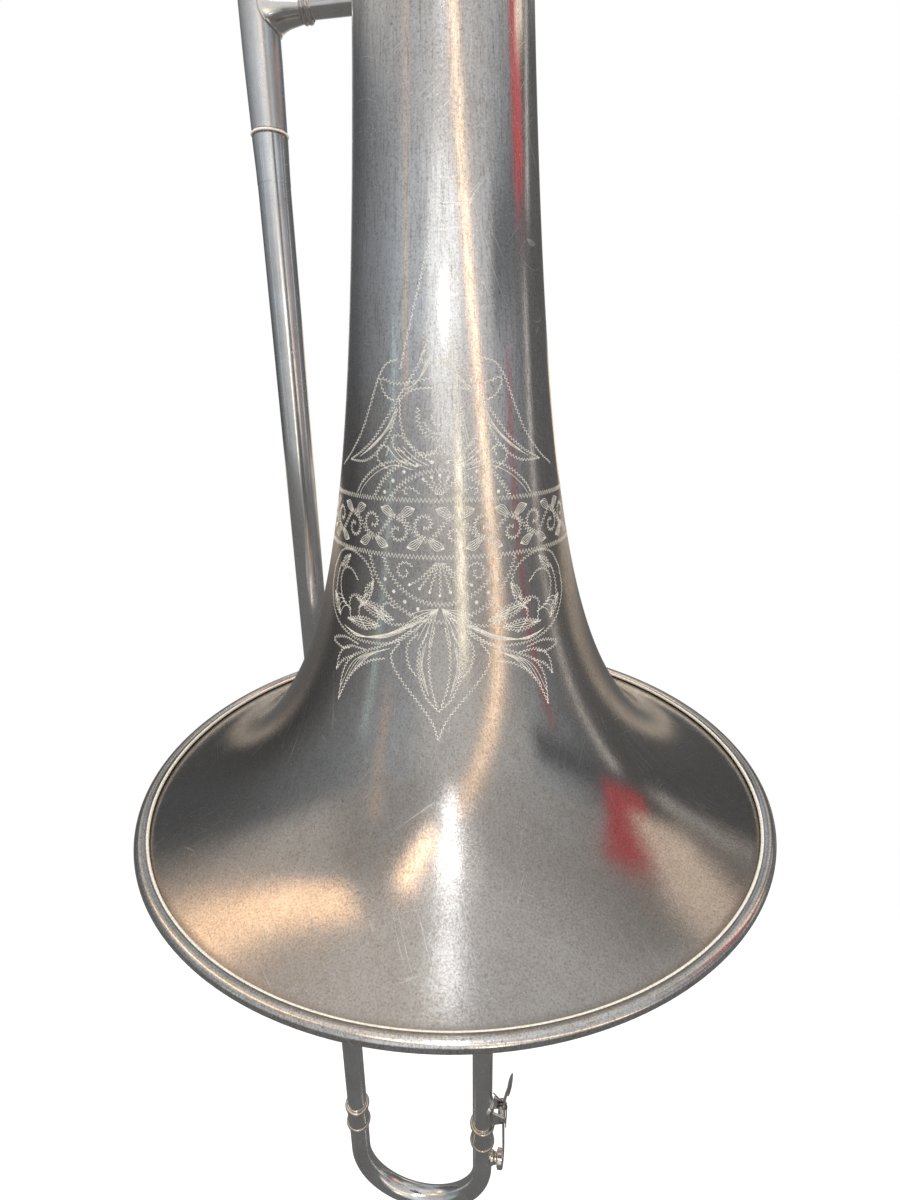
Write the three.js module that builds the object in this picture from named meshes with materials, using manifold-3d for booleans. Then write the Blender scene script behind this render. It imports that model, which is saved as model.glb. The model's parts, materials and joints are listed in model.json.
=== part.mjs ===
// A silver-plated tenor slide trombone from the early twentieth century, as a three.js scene graph.
// Millimetres, +Z up. The instrument hangs as it does on a floor stand: bell mouth down, tuning slide up,
// hand slide closed. The origin is the centre of the foot on the slide bow, the lowest point.
// The two hand slide tubes stand at x = +42 and x = -42 in the plane y = 0.
// The bell stands in front of them, at y = -103.

import * as THREE from "three";
import { mergeVertices } from "three/addons/utils/BufferGeometryUtils.js";
import Module from "manifold-3d";

const wasm = await Module();
wasm.setup();

// ---- driving dimensions ----
const BELL_RADIUS = 89; // a 7 inch bell
const BELL_LENGTH = 545;
const FLARE_OFFSET = 15; // the two numbers of the flare's horn curve
const FLARE_POWER = 0.59;
const SHEET = 0.5; // wall of every drawn tube
const RIM_WIRE_RADIUS = 0.9;
const BELL_TO_NECK = 103; // centre distance, which clears the slide past the bell's rim
const SLIDE_SPAN = 84; // centre distance of the two hand slide tubes
const FIT = 0.1; // radial gap of a soldered or sliding joint
const SOLDER_GAP = 0.3; // gap between a saddle and the tube it sits on

// ---- heights of the levels that pieces share ----
const FOOT_TOP = 7;
const RIM_HEIGHT = 437;
const OUTER_TOP = 701; // top of the outer slide
const OUTER_BRACE_Z = 679;
const BARREL_BOTTOM = 690;
const BARREL_TOP = 760;
const INNER_BRACE_Z = 734;
const RECEIVER_BOTTOM = 767.4;
const NECK_BOTTOM = 804.5;
const FRONT_BRACE_Z = 828;
const REAR_BRACE_Z = 950;
const STEM_TOP = RIM_HEIGHT + BELL_LENGTH;
const SLEEVE_TOP = STEM_TOP + 54; // top of the tuning slide's outer sleeves
const CROOK_BOTTOM = SLEEVE_TOP + 13;
const TUNING_BRACE_Z = CROOK_BOTTOM + 11;

// ---- radii of the tubes ----
const OUTER_TUBE = { inner: 6.05, outer: 6.3 };
const INNER_TUBE = { inner: 5.65, outer: 5.85, stocking: 6 };
const GRIP_RADIUS = 7.1;
const BARREL_RADIUS = 8.4;
const NECK_RADIUS = { bottom: 6.9, top: 7.6 };
const BELL_LEG_RADIUS = 9.85; // the tuning slide's two inner legs
const NECK_LEG_RADIUS = 7.95;

// ---- the parts every brace and every collar share ----
const ROD_RADIUS = 3.2;
const INNER_ROD_RADIUS = 3.4; // the inner slide's brace, which the left hand holds
const SOCKET_WALL = 0.7; // wall of a brace foot round its rod
const FOOT_LENGTH = 13.3; // from the tube's wall to the outer end of the foot's collar
const SOCKET_DEPTH = 4;
const COLLAR_WALL = 0.75;
const COLLAR_BEAD = 2.4; // height of the bead at each end of a collar
const STEM_LAP = 9; // how far a stem's collar reaches either side of its joint

const TUBE_SIDES = 16;
const BELL_SIDES = 36;
const SMALL_SIDES = 12;

const NECK_X = SLIDE_SPAN / 2; // the neck side of the hand slide
const MOUTH_X = -SLIDE_SPAN / 2; // the mouthpiece side
const BELL_Y = -BELL_TO_NECK;

// ---- materials ----
function finish(color, roughness, metalness = 1) {
  return new THREE.MeshStandardMaterial({ color, roughness, metalness });
}

const silver = finish(0x9c9a98, 0.28);
const nickelSilver = finish(0xb9b6ab, 0.22);
const brass = finish(0xb08d4a, 0.35);
const steel = finish(0x6f7276, 0.35);
const cork = finish(0x9a6f45, 0.9, 0);

// ---- making solids ----

// A piece turned round +Z from a closed outline of [radius, height] corners, given in either direction.
function turned(outline, sides = TUBE_SIDES) {
  const points = outline.map(([radius, height]) => new THREE.Vector2(radius, height));
  if (THREE.ShapeUtils.isClockWise(points)) points.reverse();
  const first = points.findIndex((p, i) => p.x === 0 && points.at(i - 1).x === 0);
  if (first < 0) points.push(points[0].clone());
  else points.push(...points.splice(0, first));
  return new THREE.LatheGeometry(points, sides).rotateX(Math.PI / 2);
}

function tubeOutline(inner, outer, low, high) {
  return [[inner, low], [outer, low], [outer, high], [inner, high]];
}

// A solid pin along +Z.
function pin(radius, from, to, sides = SMALL_SIDES) {
  return turned([[0, from], [radius, from], [radius, to], [0, to]], sides);
}

// Corners of a half-round bead on an outside wall, from its lower edge to its upper edge.
function bead(wall, height, middle) {
  const half = height / 2;
  const crest = wall + half * 0.8;
  return [
    [wall, middle - half], [crest, middle - half * 0.4],
    [crest, middle + half * 0.4], [wall, middle + half],
  ];
}

// Corners along an arc of a circle in the outline's plane, from one angle to another in degrees.
function arcCorners([centreR, centreZ], radius, from, to, steps) {
  return Array.from({ length: steps + 1 }, (_, i) => {
    const angle = THREE.MathUtils.degToRad(from + ((to - from) * i) / steps);
    return [centreR + radius * Math.cos(angle), centreZ + radius * Math.sin(angle)];
  });
}

function toSolid(geometry) {
  const bare = geometry.clone();
  for (const name of Object.keys(bare.attributes)) if (name !== "position") bare.deleteAttribute(name);
  const merged = mergeVertices(bare, 1e-4);
  return new wasm.Manifold(new wasm.Mesh({
    numProp: 3,
    vertProperties: merged.attributes.position.array,
    triVerts: new Uint32Array(merged.index.array),
  }));
}

function toGeometry(solid) {
  const { vertProperties, triVerts } = solid.getMesh();
  const geometry = new THREE.BufferGeometry();
  geometry.setAttribute("position", new THREE.BufferAttribute(vertProperties, 3));
  geometry.setIndex(new THREE.BufferAttribute(triVerts, 1));
  geometry.computeVertexNormals();
  return geometry;
}

function cut(body, ...tools) {
  return toGeometry(tools.map(toSolid).reduce((left, tool) => left.subtract(tool), toSolid(body)));
}

function joined(...pieces) {
  return toGeometry(pieces.map(toSolid).reduce((sum, piece) => sum.add(piece)));
}

// A U-shaped centre line in the XZ plane, opening downwards: a straight leg, a half circle and another leg.
class UBend extends THREE.Curve {
  constructor(radius, leg) {
    super();
    this.radius = radius;
    this.leg = leg;
    this.length = 2 * leg + Math.PI * radius;
  }
  getPoint(t, target = new THREE.Vector3()) {
    const { radius, leg, length } = this;
    const along = t * length;
    if (along <= leg) return target.set(-radius, 0, along);
    if (along >= length - leg) return target.set(radius, 0, length - along);
    const angle = (along - leg) / radius;
    return target.set(-radius * Math.cos(angle), 0, leg + radius * Math.sin(angle));
  }
}

// A round tube bent along a U, its outer radius running evenly from one end to the other.
// boreShare is its bore as a share of that radius, and 0 makes it solid.
function bentTube(bend, startRadius, endRadius, boreShare, steps, sides = TUBE_SIDES) {
  const ring = new THREE.Shape().absarc(0, 0, 1, 0, 2 * Math.PI);
  if (boreShare) ring.holes.push(new THREE.Path().absarc(0, 0, boreShare, 0, 2 * Math.PI, true));
  const options = { depth: 1, steps, bevelEnabled: false, curveSegments: sides / 2 };
  const geometry = new THREE.ExtrudeGeometry(ring, options);
  const position = geometry.getAttribute("position");
  const acrossPlane = new THREE.Vector3(0, 1, 0);
  for (let i = 0; i < position.count; i++) {
    const t = position.getZ(i);
    const radius = THREE.MathUtils.lerp(startRadius, endRadius, t);
    const inPlane = new THREE.Vector3().crossVectors(acrossPlane, bend.getTangent(t));
    const moved = bend.getPoint(t)
      .addScaledVector(inPlane, position.getX(i) * radius)
      .addScaledVector(acrossPlane, position.getY(i) * radius);
    position.setXYZ(i, moved.x, moved.y, moved.z);
  }
  return geometry;
}

// ---- placing pieces ----

function place(group, name, geometry, material, x = 0, y = 0, z = 0) {
  const mesh = new THREE.Mesh(geometry, material);
  mesh.name = name;
  mesh.position.set(x, y, z);
  group.add(mesh);
  return mesh;
}

// ---- cross braces ----

// The foot of a brace on a tube whose axis is the Y axis. It points along +Z: a flared saddle, a socket
// for the rod and a double bead round its end.
function braceFoot(tubeRadius, rodRadius, flareRadius) {
  const socket = rodRadius + SOCKET_WALL;
  const end = tubeRadius + FOOT_LENGTH;
  const inTube = tubeRadius * 0.3; // cut away again by the tube's clearance
  const outline = [
    [0, inTube], [flareRadius, inTube], [flareRadius, tubeRadius + 0.3],
    [flareRadius * 0.82, tubeRadius + 2.5], [socket + 0.6, tubeRadius + 7], [socket, end - 3.6],
    [socket + 0.8, end - 2.9], [socket + 0.1, end - 1.9], [socket + 0.8, end - 0.9], [socket, end],
    [rodRadius + FIT, end], [rodRadius + FIT, end - SOCKET_DEPTH], [0, end - SOCKET_DEPTH],
  ];
  const wall = tubeRadius + SOLDER_GAP;
  const clearance = new THREE.CylinderGeometry(wall, wall, 60, 2 * TUBE_SIDES);
  return cut(turned(outline, SMALL_SIDES), clearance);
}

// A brace between two parallel tubes: two feet and a rod. It leaves the first tube along +Z of its group.
// Each end is the name of its tube and the tube's radius.
function brace(name, [firstEnd, firstRadius], [secondEnd, secondRadius], span, rodRadius, flareRadius) {
  const group = new THREE.Group();
  place(group, `${name}_foot_${firstEnd}`, braceFoot(firstRadius, rodRadius, flareRadius), silver);

  const secondFoot = braceFoot(secondRadius, rodRadius, flareRadius);
  const second = place(group, `${name}_foot_${secondEnd}`, secondFoot, silver);
  second.position.z = span;
  second.rotation.y = Math.PI;

  const reach = FOOT_LENGTH - SOCKET_DEPTH + FIT;
  const rod = pin(rodRadius, firstRadius + reach, span - secondRadius - reach);
  place(group, `${name}_rod`, rod, silver);
  return group;
}

// Turns a brace so that it leaves its first tube towards -Y or towards -X, with the tubes upright.
function bracedTowardsBell(group, x, z) {
  group.rotation.set(Math.PI / 2, 0, 0);
  group.position.set(x, 0, z);
  return group;
}

function bracedAcrossSlide(group, z) {
  group.rotation.set(Math.PI / 2, -Math.PI / 2, 0);
  group.position.set(NECK_X, 0, z);
  return group;
}

// ---- the bell ----

const BEAD_RADIUS = RIM_WIRE_RADIUS + 0.15 + SHEET;
const BEAD_CENTRE = [BELL_RADIUS - BEAD_RADIUS, BEAD_RADIUS];

// Radius of the bell's mouth-side wall at a height above the rim's plane: a horn curve.
function hornRadius(height) {
  return BEAD_CENTRE[0] * (FLARE_OFFSET / (height + FLARE_OFFSET)) ** FLARE_POWER;
}

// Points down one wall of the bell, evenly spaced in slope. The offset is measured square to the wall.
function flareWall(offset, count = 14) {
  const [low, high] = [FLARE_OFFSET + 0.2, FLARE_OFFSET + BELL_LENGTH];
  return Array.from({ length: count + 1 }, (_, i) => {
    const height = low * (high / low) ** (i / count) - FLARE_OFFSET;
    const slope = (-FLARE_POWER * hornRadius(height)) / (height + FLARE_OFFSET);
    const length = Math.hypot(1, slope);
    return [hornRadius(height) + offset / length, height - (offset * slope) / length];
  });
}

// The sheet rolls outwards round the rim wire and stops just short of the flare, leaving a slit.
function bellOutline() {
  const back = flareWall(SHEET).reverse();
  back[0][1] = BELL_LENGTH;
  const aroundWire = arcCorners(BEAD_CENTRE, BEAD_RADIUS - SHEET, -106, 190, 6);
  const outsideBead = arcCorners(BEAD_CENTRE, BEAD_RADIUS, 190, -74, 7);
  const restingFlat = [[BEAD_CENTRE[0] + 0.3, 0], [BEAD_CENTRE[0] - 0.6, 0]];
  return [...back, ...aroundWire, ...outsideBead, ...restingFlat, ...flareWall(0)];
}

const bellWallAt = (z) => hornRadius(z - RIM_HEIGHT) + SHEET;

// ---- the bell section ----

// A collar over a joint between a lower and an upper tube, beaded at both ends.
function collar(lowerRadius, upperRadius, low, joint, high) {
  const wall = Math.max(lowerRadius, upperRadius) + COLLAR_WALL;
  return turned([
    [lowerRadius + FIT, low],
    ...bead(wall, COLLAR_BEAD, low + COLLAR_BEAD / 2),
    ...bead(wall, COLLAR_BEAD, high - COLLAR_BEAD / 2),
    [upperRadius + FIT, high], [upperRadius + FIT, joint], [lowerRadius + FIT, joint],
  ]);
}

// The outer sleeve that a leg of the tuning slide runs in, with a bead round its mouth.
function tuningSleeve(legRadius) {
  const bore = legRadius + FIT / 2;
  const wall = bore + SHEET;
  const bottom = STEM_TOP + 0.3;
  return turned([[bore, bottom], [wall, bottom], ...bead(wall, 2, SLEEVE_TOP - 1), [bore, SLEEVE_TOP]]);
}

// The collar that joins a stem to the tuning sleeve above it.
function stemCollar(stemRadius, legRadius) {
  const sleeve = legRadius + FIT / 2 + SHEET;
  return collar(stemRadius, sleeve, STEM_TOP - STEM_LAP, STEM_TOP, STEM_TOP + STEM_LAP);
}

function neckpipe() {
  const { bottom, top } = NECK_RADIUS;
  return turned([
    [bottom - SHEET, NECK_BOTTOM], [bottom, NECK_BOTTOM], [top, STEM_TOP], [top - SHEET, STEM_TOP],
  ]);
}

// The socket that takes the hand slide's tenon, stepped and beaded, soldered to the foot of the neckpipe.
function slideReceiver() {
  const neck = NECK_RADIUS.bottom + FIT;
  const step = NECK_BOTTOM - 0.5;
  return turned([
    [8.8, RECEIVER_BOTTOM], [10, RECEIVER_BOTTOM], ...bead(10, 3, RECEIVER_BOTTOM + 3),
    [10, RECEIVER_BOTTOM + 6], [9.2, NECK_BOTTOM], ...bead(8.2, 2.4, NECK_BOTTOM + 6.3),
    [neck, NECK_BOTTOM + 7.5], [neck, step], [8.1, step],
  ]);
}

function bellSection() {
  const group = new THREE.Group();
  place(group, "bell", turned(bellOutline(), BELL_SIDES), silver, NECK_X, BELL_Y, RIM_HEIGHT);
  const wire = turned(arcCorners(BEAD_CENTRE, RIM_WIRE_RADIUS, 0, 300, 5), BELL_SIDES);
  place(group, "bell_rim_wire", wire, brass, NECK_X, BELL_Y, RIM_HEIGHT);

  const facets = Math.cos(Math.PI / TUBE_SIDES); // a collar's facets cut in, so its bore is made wider
  const bellCollar = stemCollar(bellWallAt(STEM_TOP - STEM_LAP) / facets, BELL_LEG_RADIUS);
  place(group, "bell_stem_ferrule", bellCollar, silver, NECK_X, BELL_Y);
  place(group, "bell_tuning_sleeve", tuningSleeve(BELL_LEG_RADIUS), silver, NECK_X, BELL_Y);
  place(group, "neck_stem_ferrule", stemCollar(NECK_RADIUS.top, NECK_LEG_RADIUS), silver, NECK_X);
  place(group, "neck_tuning_sleeve", tuningSleeve(NECK_LEG_RADIUS), silver, NECK_X);
  place(group, "neckpipe", neckpipe(), silver, NECK_X);
  place(group, "slide_receiver", slideReceiver(), silver, NECK_X);

  const { bottom, top } = NECK_RADIUS;
  const neckAt = (z) => THREE.MathUtils.mapLinear(z, NECK_BOTTOM, STEM_TOP, bottom, top);
  for (const [name, z] of [["front_brace", FRONT_BRACE_Z], ["rear_brace", REAR_BRACE_Z]]) {
    const ends = [["neck", neckAt(z)], ["bell", bellWallAt(z)]];
    group.add(bracedTowardsBell(brace(name, ...ends, BELL_TO_NECK, ROD_RADIUS, 6.7), NECK_X, z));
  }
  return group;
}

// ---- the tuning slide ----

function tuningSlide() {
  const group = new THREE.Group();
  const legBottom = STEM_TOP + 2;
  const legWall = 0.45;
  for (const [side, radius, y] of [["bell", BELL_LEG_RADIUS, BELL_Y], ["neck", NECK_LEG_RADIUS, 0]]) {
    const leg = turned(tubeOutline(radius - legWall, radius, legBottom, CROOK_BOTTOM - 0.3));
    place(group, `tuning_leg_${side}`, leg, nickelSilver, NECK_X, y);
    const ferrule = collar(radius, radius, SLEEVE_TOP + 0.8, CROOK_BOTTOM, CROOK_BOTTOM + 4);
    place(group, `tuning_ferrule_${side}`, ferrule, silver, NECK_X, y);
  }
  const bend = new UBend(BELL_TO_NECK / 2, 20);
  const bellEnd = BELL_LEG_RADIUS - 0.05;
  const neckEnd = NECK_LEG_RADIUS - 0.05;
  const crook = bentTube(bend, bellEnd, neckEnd, 0.945, 12).rotateZ(Math.PI / 2);
  place(group, "tuning_crook", crook, silver, NECK_X, BELL_Y / 2, CROOK_BOTTOM);
  const legShare = (TUNING_BRACE_Z - CROOK_BOTTOM) / bend.length;
  const taper = legShare * (bellEnd - neckEnd);
  const ends = [["neck", neckEnd + taper], ["bell", bellEnd - taper]];
  const cross = brace("tuning_brace", ...ends, BELL_TO_NECK, ROD_RADIUS, 6.4);
  group.add(bracedTowardsBell(cross, NECK_X, TUNING_BRACE_Z));
  return group;
}

// ---- the inner slide ----

function corkBarrel() {
  const mouth = GRIP_RADIUS + 0.4; // takes the top of the outer slide
  const bore = INNER_TUBE.outer + FIT;
  const shoulder = OUTER_TOP + 21;
  return turned([
    [mouth, BARREL_BOTTOM], ...bead(BARREL_RADIUS, COLLAR_BEAD, BARREL_BOTTOM + COLLAR_BEAD / 2),
    [BARREL_RADIUS, BARREL_TOP - 13], [7.7, BARREL_TOP - 3], [7.7, BARREL_TOP],
    [bore, BARREL_TOP], [bore, shoulder], [mouth, shoulder],
  ]);
}

// The inner tube, with the thicker stocking that the outer tube runs on at its lower end.
function innerTube(bottom, top) {
  const { inner, outer, stocking } = INNER_TUBE;
  const stockingTop = bottom + 95;
  return turned([
    [inner, bottom], [stocking, bottom], [stocking, stockingTop], [outer, stockingTop + 2],
    [outer, top], [inner, top],
  ]);
}

// The plug on the neck side of the hand slide, which swivels in the bell section's receiver.
function slideTenon(innerTop) {
  const bore = INNER_TUBE.outer + FIT;
  const bottom = BARREL_TOP + 0.3;
  const flange = RECEIVER_BOTTOM - 0.4;
  const top = NECK_BOTTOM - 1.5;
  return turned([
    [bore, bottom], [10.2, bottom], [10.2, flange], [8.4, flange],
    [7.9, top], [6.6, top], [6.6, innerTop + 0.3], [bore, innerTop + 0.3],
  ]);
}

function mouthpieceReceiver(innerTop) {
  const bore = INNER_TUBE.outer + FIT;
  const bottom = BARREL_TOP + 0.3;
  const top = BARREL_TOP + 46;
  return turned([
    [bore, bottom], [7.9, bottom], [7.4, BARREL_TOP + 6], [7.7, top - 5],
    ...bead(7.7, 3.4, top - 1.7), [6.5, top], [5.6, innerTop + 1.3], [bore, innerTop + 1],
  ]);
}

// The tapered pipe inside the mouthpiece side, narrowest a little way down.
function leadpipe(innerTop) {
  const bottom = innerTop - 201;
  const top = innerTop - 0.5;
  return turned([
    [4.9, bottom], [5.2, bottom], [5.2, innerTop - 25], [5.5, innerTop - 20],
    [5.5, top], [5.15, top], [4.6, innerTop - 35],
  ]);
}

function innerSlide() {
  const group = new THREE.Group();
  const innerTop = BARREL_TOP + 11;
  const innerBottom = 90;
  for (const [side, x] of [["neck", NECK_X], ["mouth", MOUTH_X]]) {
    place(group, `inner_tube_${side}`, innerTube(innerBottom, innerTop), nickelSilver, x);
    place(group, `cork_barrel_${side}`, corkBarrel(), silver, x);
    const bore = INNER_TUBE.outer + 0.25;
    const corkRing = tubeOutline(bore, GRIP_RADIUS + 0.25, OUTER_TOP + 0.6, OUTER_TOP + 20.7);
    place(group, `barrel_cork_${side}`, turned(corkRing), cork, x);
  }
  place(group, "slide_tenon", slideTenon(innerTop), silver, NECK_X);
  place(group, "mouthpiece_receiver", mouthpieceReceiver(innerTop), silver, MOUTH_X);
  place(group, "leadpipe", leadpipe(innerTop), brass, MOUTH_X);
  const ends = [["neck", BARREL_RADIUS], ["mouth", BARREL_RADIUS]];
  const cross = brace("inner_brace", ...ends, SLIDE_SPAN, INNER_ROD_RADIUS, 7);
  group.add(bracedAcrossSlide(cross, INNER_BRACE_Z));
  return group;
}

// ---- the outer slide ----

const BOW_LEG = 30;
const BOW_CENTRE_Z = FOOT_TOP + OUTER_TUBE.outer + SLIDE_SPAN / 2;
const BOW_JOINT = BOW_CENTRE_Z + BOW_LEG;
const GRIP_BOTTOM = 641; // the rolled lower edge of the grip sleeve
const TAPER_BOTTOM = GRIP_BOTTOM - 16;
const KEY_X = NECK_X; // the water key's tube
const NIPPLE_Z = 66;
const KEY_HINGE = { x: KEY_X + 12.5, z: 112 };

function gripSleeve() {
  const bore = OUTER_TUBE.outer + FIT;
  const rolledEdge = [
    [6.7, GRIP_BOTTOM], [6.95, GRIP_BOTTOM + 0.7], [6.95, GRIP_BOTTOM + 1.7], [6.75, GRIP_BOTTOM + 2.4],
  ];
  return turned([
    [bore, GRIP_BOTTOM], ...rolledEdge, [GRIP_RADIUS, OUTER_BRACE_Z - 12],
    [GRIP_RADIUS, OUTER_TOP], [bore, OUTER_TOP],
  ]);
}

function taperFerrule() {
  const bore = OUTER_TUBE.outer + FIT;
  const top = GRIP_BOTTOM - 0.3;
  return turned([
    [bore, TAPER_BOTTOM], [bore + 0.1, TAPER_BOTTOM], [6.75, top - 3], [6.75, top], [bore, top],
  ]);
}

// The foot on the bow: a turned knob with a flat end, cut to sit on the bow's curve.
function bowTip(bowBend) {
  const knob = [[0, 0], [5, 0], [6, 1], [6, 3], [4.6, 4.4], [4.4, 6], [5.6, 9], [5.6, 10.5], [0, 10.5]];
  const wall = OUTER_TUBE.outer + SOLDER_GAP;
  const bow = bentTube(bowBend, wall, wall, 0, 24, 24).rotateX(Math.PI).translate(0, 0, BOW_JOINT);
  return cut(turned(knob), bow);
}

const alongX = (geometry) => geometry.rotateY(Math.PI / 2);
const alongY = (geometry) => geometry.rotateX(-Math.PI / 2);

function outerSlide() {
  const group = new THREE.Group();
  const { inner, outer } = OUTER_TUBE;
  for (const [side, x] of [["neck", NECK_X], ["mouth", MOUTH_X]]) {
    const tube = tubeOutline(inner, outer, BOW_JOINT + 0.3, OUTER_TOP - 0.5);
    place(group, `outer_tube_${side}`, turned(tube), silver, x);
    place(group, `grip_sleeve_${side}`, gripSleeve(), silver, x);
    place(group, `taper_ferrule_${side}`, taperFerrule(), silver, x);
    const ferrule = collar(outer, outer, BOW_JOINT - 4, BOW_JOINT, BOW_JOINT + 14);
    place(group, `bow_ferrule_${side}`, ferrule, silver, x);
  }
  const ends = [["neck", GRIP_RADIUS], ["mouth", GRIP_RADIUS]];
  const cross = brace("outer_brace", ...ends, SLIDE_SPAN, ROD_RADIUS, 7);
  group.add(bracedAcrossSlide(cross, OUTER_BRACE_Z));

  const bend = new UBend(SLIDE_SPAN / 2, BOW_LEG);
  const bow = bentTube(bend, outer, outer, 0.93, 14).rotateX(Math.PI).translate(0, 0, BOW_JOINT);
  const waterHole = alongX(pin(1.5, 2, 9)).translate(KEY_X, 0, NIPPLE_Z);
  place(group, "slide_bow", cut(bow, waterHole), silver);
  place(group, "bow_tip", bowTip(bend), silver);
  return group;
}

// ---- the water key ----

// The saddle: a strap on the tube with two ears that hold the hinge screw.
function keySaddle(tube, wall) {
  const across = KEY_HINGE.x - KEY_X;
  const halfLength = 7;
  const screwHole = 1.35;
  const outline = new THREE.Shape();
  outline.moveTo(4, -6).lineTo(across, -3).absarc(across, 0, 3, -Math.PI / 2, Math.PI / 2).lineTo(4, 6);
  outline.holes.push(new THREE.Path().absarc(across, 0, screwHole, 0, 2 * Math.PI, true));
  const options = { depth: 1.4, bevelEnabled: false, curveSegments: 8 };
  const ear = () => new THREE.ExtrudeGeometry(outline, options).rotateX(Math.PI / 2);
  const strap = pin(wall + 1, -halfLength, halfLength, 2 * TUBE_SIDES);
  const behind = new THREE.BoxGeometry(20, 20, 20).translate(-6, 0, 0);
  const blank = joined(strap, ear().translate(0, 5.3, 0), ear().translate(0, -3.9, 0));
  return cut(blank, tube, behind);
}

// The hinge screw, with a slotted head.
function keyScrew() {
  const slot = new THREE.BoxGeometry(6, 0.5, 0.8).translate(0, 0, 7);
  const blank = turned([
    [0, -6.2], [1.2, -6.2], [1.2, 5.6], [2.3, 5.6], [2.3, 6.6], [1.8, 7], [0, 7],
  ], SMALL_SIDES);
  return alongY(cut(blank, slot));
}

// The pieces of the water key that stay on the outer slide.
function waterKeyMount() {
  const group = new THREE.Group();
  const wall = OUTER_TUBE.outer + SOLDER_GAP;
  const tube = new THREE.CylinderGeometry(wall, wall, 60, 2 * TUBE_SIDES).rotateX(Math.PI / 2);
  const nipple = turned([[1.6, 3], [4.2, 3], [4.2, 7.4], [3.5, 8], [3.5, 9.5], [1.6, 9.5]], 16);
  place(group, "water_nipple", cut(alongX(nipple), tube), silver, KEY_X, 0, NIPPLE_Z);
  place(group, "water_key_saddle", keySaddle(tube, wall), silver, KEY_X, 0, KEY_HINGE.z);
  place(group, "water_key_screw", keyScrew(), steel, KEY_HINGE.x, 0, KEY_HINGE.z);
  place(group, "water_key_spring", springWire(), steel, KEY_HINGE.x, 0, KEY_HINGE.z);
  return group;
}

// A torsion spring round the lever's hub. One leg rests on top of the pad arm, the other on the slide tube.
function springWire() {
  const coil = 3.05;
  const turn = THREE.MathUtils.degToRad(405);
  const bends = 14;
  const points = [new THREE.Vector3(2.55, 0.5, -15), new THREE.Vector3(2.8, 1, -8)];
  for (let i = 0; i <= bends; i++) {
    const angle = Math.PI / 2 - (turn * i) / bends;
    const y = 1.75 + (1.55 * i) / bends;
    points.push(new THREE.Vector3(coil * Math.sin(angle), y, coil * Math.cos(angle)));
  }
  points.push(new THREE.Vector3(-2.2, 3.3, 6.5), new THREE.Vector3(-6.35, 3.3, 10.8));
  const wireRadius = 0.4;
  const section = new THREE.Shape().absarc(0, 0, wireRadius, 0, 2 * Math.PI);
  const extrudePath = new THREE.CatmullRomCurve3(points);
  const options = { extrudePath, steps: 32, curveSegments: 3, bevelEnabled: false };
  return new THREE.ExtrudeGeometry(section, options);
}

const PAD_DROP = NIPPLE_Z - KEY_HINGE.z; // the pad's height from the hinge

// The lever: a bent bar with a hub, a pad cup at its lower end and a finger plate at its upper end.
// Its own frame has the hinge at the origin, +X away from the tube and +Z up the tube.
function waterKey() {
  const group = new THREE.Group();
  const bar = new THREE.Shape([
    [0.2, PAD_DROP - 4], [1.6, PAD_DROP - 4], [2.2, PAD_DROP + 8], [1.9, -10], [1.4, 2], [2.6, 12], [5, 24],
    [3.2, 24], [0.9, 12], [-0.6, 2], [0, -10], [0.4, PAD_DROP + 8],
  ].map(([x, z]) => new THREE.Vector2(x, z)));
  const barDepth = 2.4;
  const arm = new THREE.ExtrudeGeometry(bar, { depth: barDepth, bevelEnabled: false })
    .rotateX(Math.PI / 2).translate(0, barDepth / 2, 0);
  const hub = alongY(pin(2.4, -3.5, 3.5, 16));
  const pinHole = alongY(pin(1.5, -9, 9, SMALL_SIDES));
  const cupOutline = [[0, -1], [4.9, -1], [4.9, -2.4], [5.6, -2.4], [5.6, 0.6], [4.4, 1.4], [0, 1.4]];
  const cup = alongX(turned(cupOutline, 16)).translate(0, 0, PAD_DROP);
  const fingerPlate = new THREE.SphereGeometry(1, 16, 8).scale(1, 5, 8).rotateY(0.2).translate(4.6, 0, 26);
  const lever = cut(joined(arm, hub, cup, fingerPlate), pinHole);
  place(group, "water_key_lever", lever, silver, KEY_HINGE.x, 0, KEY_HINGE.z);

  const pad = alongX(pin(4.7, -2.8, -1.1, 16));
  place(group, "water_key_pad", pad, cork, KEY_HINGE.x, 0, NIPPLE_Z);
  return group;
}

// ---- the mouthpiece ----

function mouthpiece() {
  const group = new THREE.Group();
  const shank = [[4.7, 0], [5.45, 0], [6.35, 36]];
  const outside = [
    [6.9, 37.5], [7.3, 43], [9.2, 50], [13.6, 58], [16.2, 66], [16.8, 73], ...bead(18.2, 3, 76.5),
  ];
  const rim = arcCorners([16, 79.2], 2.8, 20, 160, 5);
  const cup = [[12.8, 78.4], [12.4, 72], [10.8, 63], [7, 54.5], [3.5, 48.5]];
  const backbore = [[3.1, 46], [3.1, 41], [4.3, 12]];
  const bottom = BARREL_TOP + 14.5;
  const outline = [...shank, ...outside, ...rim, ...cup, ...backbore];
  place(group, "mouthpiece", turned(outline), silver, MOUTH_X, 0, bottom);
  return group;
}

const trombone = new THREE.Group();
trombone.add(bellSection(), tuningSlide(), innerSlide(), outerSlide());
trombone.add(waterKeyMount(), waterKey(), mouthpiece());

export default trombone;
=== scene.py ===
"""The looks of the slide trombone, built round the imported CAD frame.

Every CAD node is redrawn as a smooth piece of the same size and place, worked out from the node's box.
Sizes below are in millimetres, and those of materials, camera, lights and floor in metres. Meshes are
written in metres, in the frame's own axes.
"""

import json
import math

import bmesh
import bpy
from mathutils import Matrix, Vector


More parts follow.
